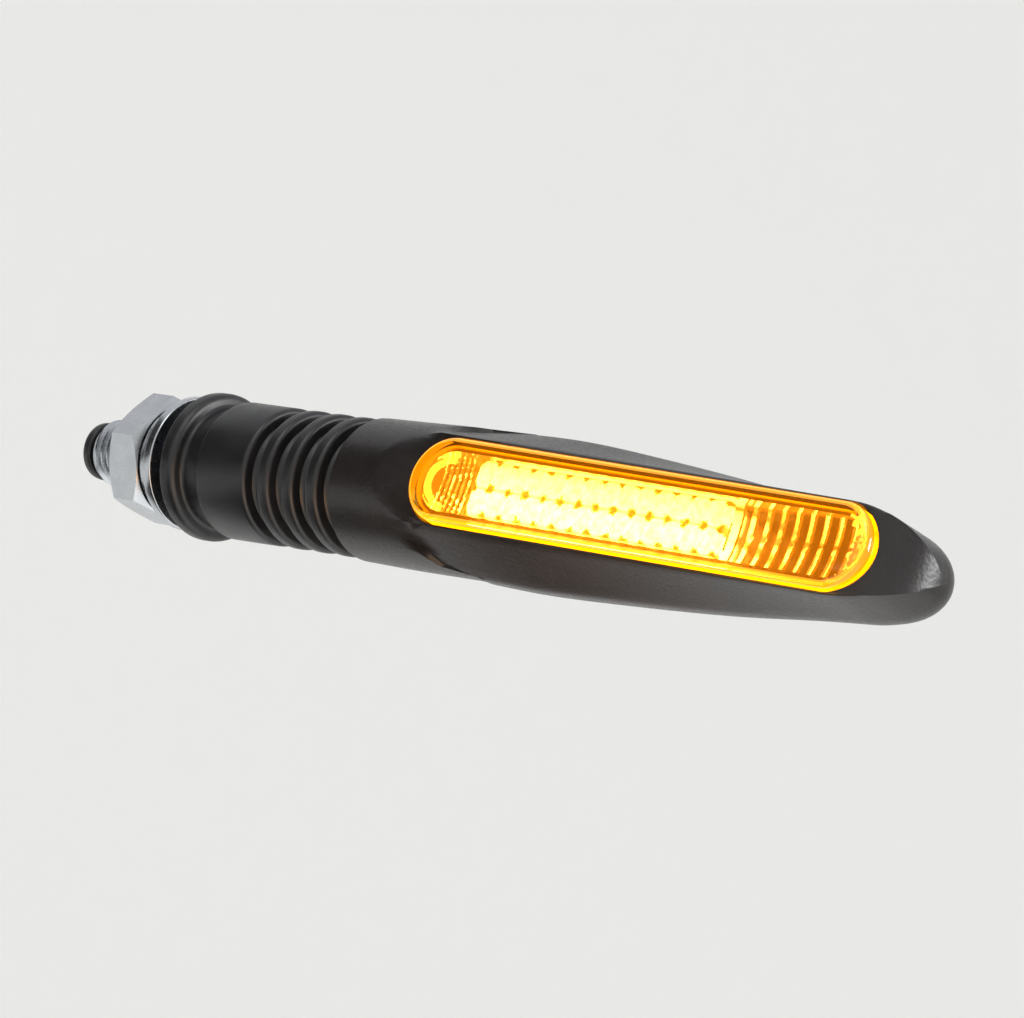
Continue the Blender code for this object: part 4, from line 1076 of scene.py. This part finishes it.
@dataclass
class LampHousing:
    """Moulded blade: neck, facets, ridge, lens window with its ledge, cavity and screw bosses."""

    shape: HeadShape
    wall: float = 1.8 * MM
    crease: float = 0.45 * MM
    crease_span: tuple[float, float] = (62 * MM, 134 * MM)
    window_front: float = -4 * MM
    neck_chamfer: float = 0.6 * MM
    ledge_depth: float = 4.2 * MM
    ledge_thickness: float = 1.2 * MM
    ledge_half_height: float = 5.33 * MM
    bore_radius: float = 8.3 * MM
    chamber_radius: float = 9.1 * MM
    chamber: tuple[float, float] = (45.6 * MM, 48.5 * MM)
    boss_radius: float = 2.3 * MM
    boss_hole: float = 1.3 * MM
    boss_depth: float = 7.6 * MM
    window_edge: float = 0.25 * MM
    facet_settle: float = 5 * MM
    neck_rings: int = 8
    facet_rings: int = 5
    blade_rings: int = 30
    nose_rings: int = 16
    cavity_rings: int = 20

    def build(self) -> None:
        """Builds the housing from its skin, its cavity and its cuts."""
        shape = self.shape
        tools = [(self.cavity(), "DIFFERENCE"),
                 (cylinder_x(self.bore_radius, shape.neck_start - MM, self.chamber[0] + MM), "DIFFERENCE"),
                 (cylinder_x(self.chamber_radius, *self.chamber), "DIFFERENCE"),
                 (shape.place_in_world(capsule_plate(shape.lens_half_height + GAP, shape.straight,
                                                     self.window_front, self.ledge_depth)), "DIFFERENCE"),
                 (shape.place_in_world(capsule_plate(self.ledge_half_height, shape.straight,
                                                     self.ledge_depth - MM,
                                                     self.ledge_depth + self.ledge_thickness + 0.5 * MM)),
                  "DIFFERENCE")]
        for screw in ("board_screw_1", "board_screw_2"):
            tools += self.boss(screw)
        bm = cut(self.skin(), tools)
        self.soften_window(bm)
        finish_piece(bm, "housing_blade", HOUSING_ABS, Body.HEAD, ("housing",), 30.0)

    def skin(self) -> BMesh:
        """Lofts the outer skin: a circle is shaped to the neck and extruded from section to section.

        Returns:
            The closed skin.
        """
        shape = self.shape
        count = 2 * shape.steps
        numbers = [min(i, count - i) for i in range(count)]
        bm = bmesh.new()
        ring = bmesh.ops.create_circle(bm, cap_ends=True, segments=count, radius=1.0)["verts"]
        first = shape.neck_start + self.neck_chamfer
        self.shape_ring(ring, numbers, [shape.neck_start] * count, False, self.neck_chamfer)
        ring = self.extrude_ring(bm, ring)
        self.shape_ring(ring, numbers, [first] * count, False)
        for step in range(1, self.neck_rings + 1):
            ring = self.extrude_ring(bm, ring)
            places = [first + step * (shape.ramp_place(n) - first) / self.neck_rings for n in numbers]
            self.shape_ring(ring, numbers, places, False)
        ring = self.extrude_ring(bm, ring)
        self.shape_ring(ring, numbers, [shape.facet_place(n) + shape.facet_lip for n in numbers], True)
        after = shape.facet_start + shape.facet_run + self.facet_settle
        for step in range(1, self.facet_rings + 1):
            share = step / self.facet_rings
            ring = self.extrude_ring(bm, ring)
            places = [shape.facet_place(n) + share * (after - shape.facet_place(n)) for n in numbers]
            self.shape_ring(ring, numbers, places, True)
        run = [after + (shape.nose_start - after) * i / self.blade_rings
               for i in range(1, self.blade_rings + 1)]
        nose = [shape.nose_start
                + (shape.length - shape.nose_start) * math.sin(QUARTER_TURN * i / self.nose_rings)
                for i in range(1, self.nose_rings)]
        for place in run + nose:
            ring = self.extrude_ring(bm, ring)
            self.shape_ring(ring, numbers, [place] * count, True)
        ring = self.extrude_ring(bm, ring)
        bmesh.ops.pointmerge(bm, verts=ring, merge_co=shape.to_world(shape.length, 0, 0))
        self.round_creases(bm)
        return bm

    def extrude_ring(self, bm: BMesh, ring: list[BMVert]) -> list[BMVert]:
        """Extrudes the edges between a ring's vertices.

        Args:
            bm: the bmesh.
            ring: vertices of the last ring, in order.

        Returns:
            Vertices of the new ring, in the same order.
        """
        members = set(ring)
        edges = [edge for edge in bm.edges if edge.verts[0] in members and edge.verts[1] in members
                 and len(edge.link_faces) < 2]
        grown = bmesh.ops.extrude_edge_only(bm, edges=edges)["geom"]
        fresh = {item for item in grown if isinstance(item, BMVert)}
        return [next(edge.other_vert(vert) for edge in vert.link_edges if edge.other_vert(vert) in fresh)
                for vert in ring]

    def shape_ring(self, ring: list[BMVert], numbers: list[int], places: list[float],
                   faceted: bool, inset: float = 0.0) -> None:
        """Moves a ring's vertices onto a section.

        Args:
            ring: the vertices, from the front over the top and back.
            numbers: each vertex's step in its half of the section.
            places: each vertex's place along the stem's axis.
            faceted: whether the section has its facets.
            inset: how far the ring is moved in.
        """
        half = self.shape.steps
        for index, (vert, number, place) in enumerate(zip(ring, numbers, places)):
            depth, up = self.shape.section_point(place, number, faceted, inset)
            vert.co = self.shape.to_world(place, depth, up if index <= half else -up)

    def round_creases(self, bm: BMesh) -> None:
        """Rounds the sharp lengthwise edges between the flat, the facets and the back.

        Args:
            bm: the skin.
        """
        bm.normal_update()
        creases = [edge for edge in bm.edges if len(edge.link_faces) == 2
                   and edge.calc_face_angle() > math.radians(14)
                   and abs((edge.verts[1].co - edge.verts[0].co).normalized().x) > 0.9
                   and all(self.crease_span[0] < vert.co.x < self.crease_span[1] for vert in edge.verts)]
        bmesh.ops.bevel(bm, geom=creases, offset=self.crease, segments=3, affect="EDGES", profile=0.5,
                        material=-1)

    def cavity(self) -> BMesh:
        """Lofts the space inside, cut straight behind the ledge.

        Returns:
            The closed cavity.
        """
        shape = self.shape
        front = self.ledge_depth + self.ledge_thickness - shape.front_depth
        count = 2 * shape.steps
        numbers = [min(i, count - i) for i in range(count)]
        end = shape.origin + (shape.lens_start + shape.lens_length) * math.cos(shape.sweep)
        bm = bmesh.new()
        ring = bmesh.ops.create_circle(bm, cap_ends=True, segments=count, radius=1.0)["verts"]
        start = self.chamber[1] - MM
        places = [start + (end - start) * i / (self.cavity_rings - 1) for i in range(self.cavity_rings)]
        for place in places:
            if place != places[0]:
                ring = self.extrude_ring(bm, ring)
            faceted = place > shape.facet_start + shape.facet_run
            for index, (vert, number) in enumerate(zip(ring, numbers)):
                depth, up = self.straight_front(place, number, faceted, front)
                vert.co = shape.to_world(place, depth, up if index <= shape.steps else -up)
        bmesh.ops.contextual_create(bm, geom=[edge for edge in bm.edges if edge.is_boundary])
        return bm

    def straight_front(self, place: float, number: int, faceted: bool, front: float) -> tuple[float, float]:
        """A point of the cavity's section, which is cut straight at a depth.

        Args:
            place: place along the stem's axis.
            number: step in the half section.
            faceted: whether the section has its facets.
            front: depth of the cut.

        Returns:
            Depth and height.
        """
        points = [self.shape.section_point(place, step, faceted, self.wall)
                  for step in range(self.shape.steps + 1)]
        after = next(step for step, point in enumerate(points) if point[0] > front)
        if number >= after:
            return points[number]
        share = (front - points[after - 1][0]) / (points[after][0] - points[after - 1][0])
        edge = points[after - 1][1] + (points[after][1] - points[after - 1][1]) * share
        return front, edge * number / (after - 1)

    def boss(self, screw: str) -> list[tuple[BMesh, str]]:
        """A round boss behind the board with its hole, in line with a screw.

        Args:
            screw: the CAD node of the screw.

        Returns:
            The boss and its hole as Boolean tools.
        """
        shape = self.shape
        low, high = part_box(screw)
        local = shape.frame_matrix().inverted() @ (0.5 * (low + high))
        back = shape.front_depth + shape.blade_at(0.5 * (low.x + high.x))[2] - 0.5 * self.wall
        tools = []
        for radius, start, end, operation in ((self.boss_radius, self.boss_depth, back, "UNION"),
                                              (self.boss_hole, self.boss_depth - 0.5 * MM,
                                               self.boss_depth + 4.9 * MM, "DIFFERENCE")):
            bm = bmesh.new()
            place = Matrix.Translation((local.x, 0.5 * (start + end), 0))
            bmesh.ops.create_cone(bm, cap_ends=True, segments=32, radius1=radius, radius2=radius,
                                  depth=end - start, matrix=place @ Matrix.Rotation(QUARTER_TURN, 4, "X"))
            tools.append((shape.place_in_world(bm), operation))
        return tools

    def soften_window(self, bm: BMesh) -> None:
        """Rounds the rim of the lens window a little.

        Args:
            bm: the housing.
        """
        inverse = self.shape.frame_matrix().inverted()
        bm.normal_update()
        rim = []
        for edge in bm.edges:
            ends = [inverse @ vert.co for vert in edge.verts]
            if len(edge.link_faces) == 2 and all(abs(end.y) < 0.01 * MM for end in ends):
                if edge.calc_face_angle() > math.radians(60):
                    rim.append(edge)
        if rim:
            bmesh.ops.bevel(bm, geom=rim, offset=self.window_edge, segments=3, affect="EDGES",
                            profile=0.5, material=-1, clamp_overlap=True)


@dataclass
class AmberLens:
    """Raised amber lens with a rounded front edge and a skirt that stands on the gasket."""

    shape: HeadShape
    proud: float = 1.5 * MM
    face_thickness: float = 2.2 * MM
    skirt_depth: float = 3.0 * MM
    skirt_wall: float = 1.1 * MM
    edge: float = 1.1 * MM

    def build(self) -> None:
        """Extrudes the face and skirt and hollows the skirt by an inset."""
        shape = self.shape
        bm = capsule_plate(shape.lens_half_height, shape.straight, -self.proud, self.skirt_depth)
        bm.faces.ensure_lookup_table()
        back = max((face for face in bm.faces if len(face.verts) > 4),
                   key=lambda face: face.calc_center_median().y)
        bmesh.ops.inset_individual(bm, faces=[back], thickness=self.skirt_wall, use_even_offset=True)
        extrude_to(bm, [back], self.face_thickness - self.proud, False)
        if back.is_valid:
            bmesh.ops.delete(bm, geom=[back], context="FACES_ONLY")
        bm.normal_update()
        front = [edge for edge in bm.edges
                 if all(abs(vert.co.y + self.proud) < 0.001 * MM for vert in edge.verts)]
        bmesh.ops.bevel(bm, geom=front, offset=self.edge, segments=6, affect="EDGES", profile=0.5,
                        material=-1)
        bm.normal_update()
        # Faces that don't face the front take the edge material, whose strong painted glow stands in for LED
        # light leaving the lens's edges.
        for face in bm.faces:
            face.material_index = 0 if abs(face.normal.y) > 0.98 else 1
        shape.place_in_world(bm)
        piece = finish_piece(bm, "lens_amber", AMBER, Body.HEAD, ("lens",), 50.0)
        piece.data.materials.append(AMBER_EDGE.material())


# ---------------------------------------------------------------- light engine

@dataclass
class LightEngine:
    """What glows behind the lens: optic, reflector, LED packages, and the board that drives them."""

    shape: HeadShape
    columns: int = 14
    rows: int = 2
    cell_dome: float = 0.45 * MM
    optic_start: float = 10.7 * MM
    optic_end: float = 27.0 * MM
    optic_depth: float = 1.3 * MM
    optic_thickness: float = 1.9 * MM
    reflector_depth: float = 1.0 * MM
    reflector_end: float = 5.4 * MM
    reflector_wall: float = 0.65 * MM
    floor_depth: float = 4.8 * MM
    flute_base: float = 0.9 * MM
    flute_count: int = 6
    outer_flutes: int = 8
    flute_lip: float = 1.4
    flute_bow: float = 0.5 * MM
    outer_lead: float = 0.6 * MM
    crescent: float = 2.2 * MM
    crescent_slope: float = 0.45
    tip_crescent: tuple[float, float] = (3.7 * MM, 4.9 * MM)    # inner and outer radius of its light
    neck_crescent: tuple[float, float] = (3.2 * MM, 4.3 * MM)
    crescent_corner: float = 0.8 * MM
    crescent_step: float = 0.35 * MM
    tip_flat: float = 0.55              # share of a flute before its lip
    neck_flat: float = 0.65
    lip_growth: float = 0.12            # each lip toward the tip is this much taller
    notch: tuple[float, float] = (0.5, 0.6 * MM)                # depth share and width of a lip's notch
    package_edge: float = 0.12 * MM
    cup: tuple[float, float] = (0.35 * MM, 0.35 * MM)           # wall and depth of an LED's cup
    phosphor_inset: float = 0.15 * MM
    slot_inset: float = 1.0 * MM
    slot_height: float = 4.0 * MM
    tray_grid: tuple[int, int] = (640, 36)
    wall_lean: float = 0.02 * MM
    flute_reach: float = 4.4 * MM
    fine: int = 8

    def build(self) -> None:
        """Builds the shaped pieces and dresses the CAD nodes that stay."""
        self.optic()
        self.reflector()
        for number in range(1, 8):
            self.led(number)
        self.dress_nodes()

    @property
    def optic_span(self) -> tuple[float, float]:
        """First and last place of the optic along the head."""
        half = 0.5 * self.shape.lens_length
        return -half + self.optic_start, half - self.optic_end

    @property
    def optic_half_height(self) -> float:
        """Half the optic's height, from its CAD node."""
        low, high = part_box("optic_bar")
        return 0.5 * (high.z - low.z)

    def optic(self) -> None:
        """Raises a dome in each cell of a grid and gives the grid its thickness."""
        start, end = self.optic_span
        half = self.optic_half_height
        columns, rows = self.columns * self.fine, self.rows * self.fine
        bm = bmesh.new()
        bmesh.ops.create_grid(bm, x_segments=columns, y_segments=rows, size=0.5,
                              matrix=Matrix.Rotation(QUARTER_TURN, 4, "X"))
        for vert in bm.verts:
            along = (vert.co.x + 0.5) * self.columns
            upward = (vert.co.z + 0.5) * self.rows
            dome = abs(math.sin(math.pi * along) * math.sin(math.pi * upward)) ** 0.5
            vert.co.x = start + (vert.co.x + 0.5) * (end - start)
            vert.co.z = vert.co.z * 2 * half
            vert.co.y = self.optic_depth + self.cell_dome * (1 - dome)
        extrude_to(bm, bm.faces[:], self.optic_depth + self.optic_thickness)
        self.shape.place_in_world(bm)
        matrix = self.shape.frame_matrix()
        cell = ((end - start) / self.columns, 2 * half / self.rows)
        finish = LitOptic("pmma_clear_lit_cells", cell, tuple(matrix @ Vector((start, 0, 0))),
                          self.shape.sweep, half)
        finish_piece(bm, "optic_cells", finish, Body.HEAD, ("optic_bar",), 60.0)

    def reflector(self) -> None:
        """Presses the tray's walls, floor and fluted ramps into a grid and gives it its thickness."""
        shape = self.shape
        low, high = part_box("reflector")
        half = 0.5 * (high.z - low.z)
        reach = 0.5 * shape.straight + half
        bm = bmesh.new()
        steps, rows = self.tray_grid
        bmesh.ops.create_grid(bm, x_segments=steps, y_segments=rows, size=0.5,
                              matrix=Matrix.Rotation(QUARTER_TURN, 4, "X"))
        inside = 1.0 - 4.0 / rows
        for vert in bm.verts:
            along = 2 * reach * vert.co.x
            share = 2 * vert.co.z
            past = max(0.0, abs(along) - 0.5 * shape.straight)
            tall = math.sqrt(max(half**2 - past**2, (0.12 * MM) ** 2))
            floor_tall = math.sqrt(max((half - self.reflector_wall) ** 2 - past**2, (0.05 * MM) ** 2))
            vert.co.x = along
            if abs(share) < inside + 0.5 / rows:
                vert.co.z = share / inside * floor_tall
                vert.co.y = self.tray_depth(along, vert.co.z)
            else:
                outward = (abs(share) - inside) / (1 - inside)
                foot = floor_tall + self.wall_lean
                vert.co.z = math.copysign(foot + outward**2 * (tall - foot), share)
                vert.co.y = self.reflector_depth
            if past > half - self.reflector_wall:
                vert.co.y = self.reflector_depth
        extrude_to(bm, bm.faces[:], self.reflector_end)
        slot = bmesh.new()
        bmesh.ops.create_cube(slot, size=1.0)
        start, end = self.optic_span
        length = end - start - 2 * self.slot_inset
        bmesh.ops.scale(slot, vec=(length, 4 * self.reflector_end, self.slot_height), verts=slot.verts[:])
        bmesh.ops.translate(slot, vec=(0.5 * (start + end), 0, 0), verts=slot.verts[:])
        bm = cut(bm, [(slot, "DIFFERENCE")])
        bm.normal_update()
        # Faces toward the lens on a crescent take the lit material, a painted reflection of the LED strip.
        for face in bm.faces:
            centre = face.calc_center_median()
            face.material_index = int(face.normal.y < -0.3 and self.on_crescent(centre.x, centre.z))
        shape.place_in_world(bm)
        tray = finish_piece(bm, "reflector_tray", MIRROR, Body.HEAD,
                            ("reflector",), 60.0)
        tray.data.materials.append(MIRROR_LIT.material())

    def on_crescent(self, along: float, up: float) -> bool:
        """Whether a place is on a crescent of painted reflection at either end of the tray.

        Args:
            along: place along the head.
            up: height.

        Returns:
            True on a crescent.
        """
        centre = 0.5 * self.shape.straight
        reach = math.hypot(abs(along) - centre, up)
        inner, outer = self.tip_crescent if along > 0 else self.neck_crescent
        return abs(along) > centre + self.crescent_corner and inner < reach < outer

    def tray_depth(self, along: float, up: float) -> float:
        """Depth of the tray's face at a place.

        Args:
            along: place along the head.
            up: height.

        Returns:
            The depth from the front flat.
        """
        start, end = self.optic_span
        if start - GAP < along < end + GAP:
            return self.floor_depth
        outer = along > 0
        first = end + GAP if outer else -(start - GAP)
        lead = self.outer_lead if outer else self.crescent
        last = 0.5 * self.shape.straight + self.flute_reach
        bow = self.flute_bow * (1 - (up / self.flute_reach) ** 2)
        travel = abs(along) - first - (bow if outer else -bow)
        top = self.reflector_depth + self.reflector_wall
        floor = self.floor_depth - self.flute_base
        count = self.outer_flutes if outer else self.flute_count
        rise = (floor - top) / count
        if travel < lead:
            share = min(1.0, max(0.0, travel / lead))
            return self.floor_depth - share * (self.floor_depth - floor + rise)
        run = (last - first - lead - self.crescent) / count
        step = math.floor((travel - lead) / run)
        if step >= count:
            past = travel - lead - count * run
            return max(self.reflector_depth, top + self.crescent_step - self.crescent_slope * past)
        share = (travel - lead) / run - step
        flat = self.tip_flat if outer else self.neck_flat
        climb = max(0.0, (share - flat) / (1 - flat))
        lobe = 1.0 - self.notch[0] * math.exp(-(up / self.notch[1]) ** 2)
        lip = self.flute_lip + (self.lip_growth * step if outer else 0.0)
        return floor - rise * (step + lip * climb * lobe)

    def led(self, number: int) -> None:
        """Makes an LED package: a bevelled case with a cup, and phosphor in the cup.

        Args:
            number: number of the LED from the neck.
        """
        shape = self.shape
        inverse = shape.frame_matrix().inverted()
        corners = [inverse @ vert.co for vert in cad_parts[f"led_{number}"].data.vertices]
        low = Vector(min(corner[axis] for corner in corners) for axis in range(3))
        high = Vector(max(corner[axis] for corner in corners) for axis in range(3))
        size = high - low
        bm = bmesh.new()
        bmesh.ops.create_cube(bm, size=1.0)
        bmesh.ops.scale(bm, vec=size, verts=bm.verts[:])
        bmesh.ops.bevel(bm, geom=bm.edges[:], offset=self.package_edge, segments=2, affect="EDGES",
                        profile=0.5, material=-1)
        face = min(bm.faces, key=lambda item: item.calc_center_median().y)
        bmesh.ops.inset_individual(bm, faces=[face], thickness=self.cup[0], use_even_offset=True)
        bmesh.ops.translate(bm, vec=(0, self.cup[1], 0), verts=face.verts[:])
        bmesh.ops.inset_individual(bm, faces=[face], thickness=self.phosphor_inset, use_even_offset=True)
        face.material_index = 1
        bmesh.ops.translate(bm, vec=0.5 * (low + high), verts=bm.verts[:])
        shape.place_in_world(bm)
        piece = finish_piece(bm, f"led_package_{number}", LED_CASE, Body.HEAD,
                             (f"led_{number}",))
        piece.data.materials.append(PHOSPHOR.material())

    def dress_nodes(self) -> None:
        """Gives the CAD nodes that stay their finishes."""
        finishes = {"circuit_board": BOARD, "driver_chip": BLACK_EPOXY, "input_diode": BLACK_EPOXY,
                    "capacitor": TAN_CASE, "lens_gasket": RUBBER, "stem_plug": RUBBER, "stem_clip": STEEL,
                    "board_screw_1": STEEL, "board_screw_2": STEEL, "lead_black": BLACK_SHEATH,
                    "lead_amber": AMBER_SHEATH}
        for number in range(1, 5):
            finishes[f"resistor_{number}"] = BLACK_EPOXY
        for name, finish in finishes.items():
            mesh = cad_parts[name].data
            mesh.materials.clear()
            mesh.materials.append(finish.material())
            LOG.info("%s: dressed as %s", name, finish.name)


# ---------------------------------------------------------------- studio

@dataclass
class Studio:
    """Plain pale cove, soft lights, and the camera."""

    direction: tuple[float, float, float] = (0.719, -0.663, -0.207)
    distance: float = 1.2
    roll: float = math.radians(-20.28)
    focal_length: float = 285.0
    target: tuple[float, float, float] = (0.062, 0.0, 0.0)
    floor_height: float = -0.34
    cove_radius: float = 2.6
    cove_height: float = 2.4
    cove_bend: float = 0.8
    cove_colour: str = "#f4f4f2"
    cove_glow: float = 0.08
    air_strength: float = 0.8

    def build(self) -> None:
        """Builds the cove, the lights and the camera."""
        self.cove()
        self.world()
        self.light("key_light", (0.35, -0.75, 0.75), 0.45, 2.6)
        self.light("rim_light", (0.85, 0.25, 0.35), 0.40, 8.0)
        self.light("lamp_spill", (0.092, -0.036, -0.050), 0.03, 0.030, "#ffae38", (0.092, -0.004, -0.006))
        self.dark_card("front_card", (-0.60, -0.56, 0.16), 0.8)
        self.dark_card("low_card", (-0.015, -0.057, -0.193), 0.26)
        self.camera()

    def camera(self) -> None:
        """Places the camera low and in front, rolled so that the stem runs down to the right."""
        place = Vector(self.direction).normalized() * self.distance
        back = (place - Vector(self.target)).normalized()
        right = Vector((0, 0, 1)).cross(back).normalized()
        up = back.cross(right)
        tilted_right = math.cos(self.roll) * right - math.sin(self.roll) * up
        tilted_up = math.sin(self.roll) * right + math.cos(self.roll) * up
        data = bpy.data.cameras.new("camera")
        data.lens = self.focal_length
        data.sensor_width = 36.0
        data.clip_end = 20.0
        thing = bpy.data.objects.new("camera", data)
        bpy.context.scene.collection.objects.link(thing)
        turn = Matrix((tilted_right, tilted_up, back)).transposed().to_4x4()
        thing.matrix_world = Matrix.Translation(place) @ turn
        bpy.context.scene.camera = thing

    def light(self, name: str, place: tuple[float, float, float], size: float, power: float,
              colour: str = "#ffffff", aim: tuple[float, float, float] | None = None) -> None:
        """Adds a square soft light.

        Args:
            name: the light's name.
            place: where it stands.
            size: its side.
            power: its power in watts.
            colour: sRGB hex colour.
            aim: the place it faces, or None for the object's middle.
        """
        data = bpy.data.lights.new(name, "AREA")
        data.size = size
        data.energy = power
        data.color = srgb(colour)[:3]
        thing = bpy.data.objects.new(name, data)
        bpy.context.scene.collection.objects.link(thing)
        away = (Vector(place) - Vector(aim or self.target)).normalized()
        thing.matrix_world = Matrix.Translation(place) @ away.to_track_quat("Z", "Y").to_matrix().to_4x4()

    def dark_card(self, name: str, place: tuple[float, float, float], size: float) -> None:
        """Stands a black card that only mirrors see, where the lamp would mirror the bright cove.

        Args:
            name: the card's name.
            place: where it stands.
            size: its side.
        """
        bm = bmesh.new()
        away = (Vector(place) - Vector(self.target)).normalized()
        turn = away.to_track_quat("Z", "Y").to_matrix().to_4x4()
        bmesh.ops.create_grid(bm, x_segments=1, y_segments=1, size=0.5 * size,
                              matrix=Matrix.Translation(place) @ turn)
        card = self.stage_piece(bm, name, "felt_black", "#101010", 1.0, 0.0)
        card.visible_camera = False
        card.visible_diffuse = False
        card.visible_shadow = False

    def stage_piece(self, bm: BMesh, name: str, finish: str, colour: str, roughness: float,
                    glow: float) -> Object:
        """Turns a bmesh into a matt piece of the studio.

        Args:
            bm: the piece; it is freed.
            name: its name.
            finish: name of its material.
            colour: sRGB hex colour.
            roughness: roughness of the surface.
            glow: strength of its own light, in its own colour.

        Returns:
            The piece.
        """
        mesh = bpy.data.meshes.new(name)
        bm.to_mesh(mesh)
        bm.free()
        made = bpy.data.materials.new(finish)
        made.use_nodes = True
        Surface(made.node_tree).set({"Base Color": srgb(colour), "Roughness": roughness,
                                     "Emission Color": srgb(colour), "Emission Strength": glow})
        mesh.materials.append(made)
        piece = bpy.data.objects.new(name, mesh)
        bpy.context.scene.collection.objects.link(piece)
        return piece

    def world(self) -> None:
        """Fills the scene with even pale light."""
        made = bpy.data.worlds.new("studio_air")
        made.use_nodes = True
        background = made.node_tree.nodes["Background"]
        background.inputs["Color"].default_value = srgb("#f2f3f5")
        background.inputs["Strength"].default_value = self.air_strength
        bpy.context.scene.world = made
        bpy.context.scene.view_settings.view_transform = "Standard"

    def cove(self) -> None:
        """Turns a floor that rises into a wall all round."""
        bm = bmesh.new()
        bend, steps = self.cove_bend, 8
        outline = [(0.01, self.floor_height), (0.5 * self.cove_radius, self.floor_height)]
        for step in range(steps + 1):
            turn = QUARTER_TURN * step / steps
            outline.append((self.cove_radius - bend + bend * math.sin(turn),
                            self.floor_height + bend - bend * math.cos(turn)))
        outline.append((self.cove_radius, self.floor_height + self.cove_height))
        verts = [bm.verts.new((reach, 0, up)) for reach, up in outline]
        edges = [bm.edges.new(pair) for pair in zip(verts, verts[1:])]
        bmesh.ops.spin(bm, geom=verts + edges, cent=(0, 0, 0), axis=(0, 0, 1), dvec=(0, 0, 0),
                       angle=math.tau, steps=96, use_merge=True)
        bmesh.ops.holes_fill(bm, edges=[edge for edge in bm.edges if edge.is_boundary
                                        and edge.verts[0].co.z < self.floor_height + 0.01])
        bmesh.ops.recalc_face_normals(bm, faces=bm.faces[:])
        bmesh.ops.reverse_faces(bm, faces=bm.faces[:])
        cove = self.stage_piece(bm, "cove", "cove_matt_paint", self.cove_colour, 0.9, self.cove_glow)
        cove.data.shade_smooth()


# ---------------------------------------------------------------- assembly


def main() -> None:
    """Builds the studio and every sub-assembly."""
    logging.basicConfig(level=logging.INFO, format="%(name)s: %(message)s")
    Studio().build()
    StemFixing().build()
    RubberStem().build()
    LampHousing(SHAPE).build()
    AmberLens(SHAPE).build()
    LightEngine(SHAPE).build()


if __name__ == "__main__":
    main()
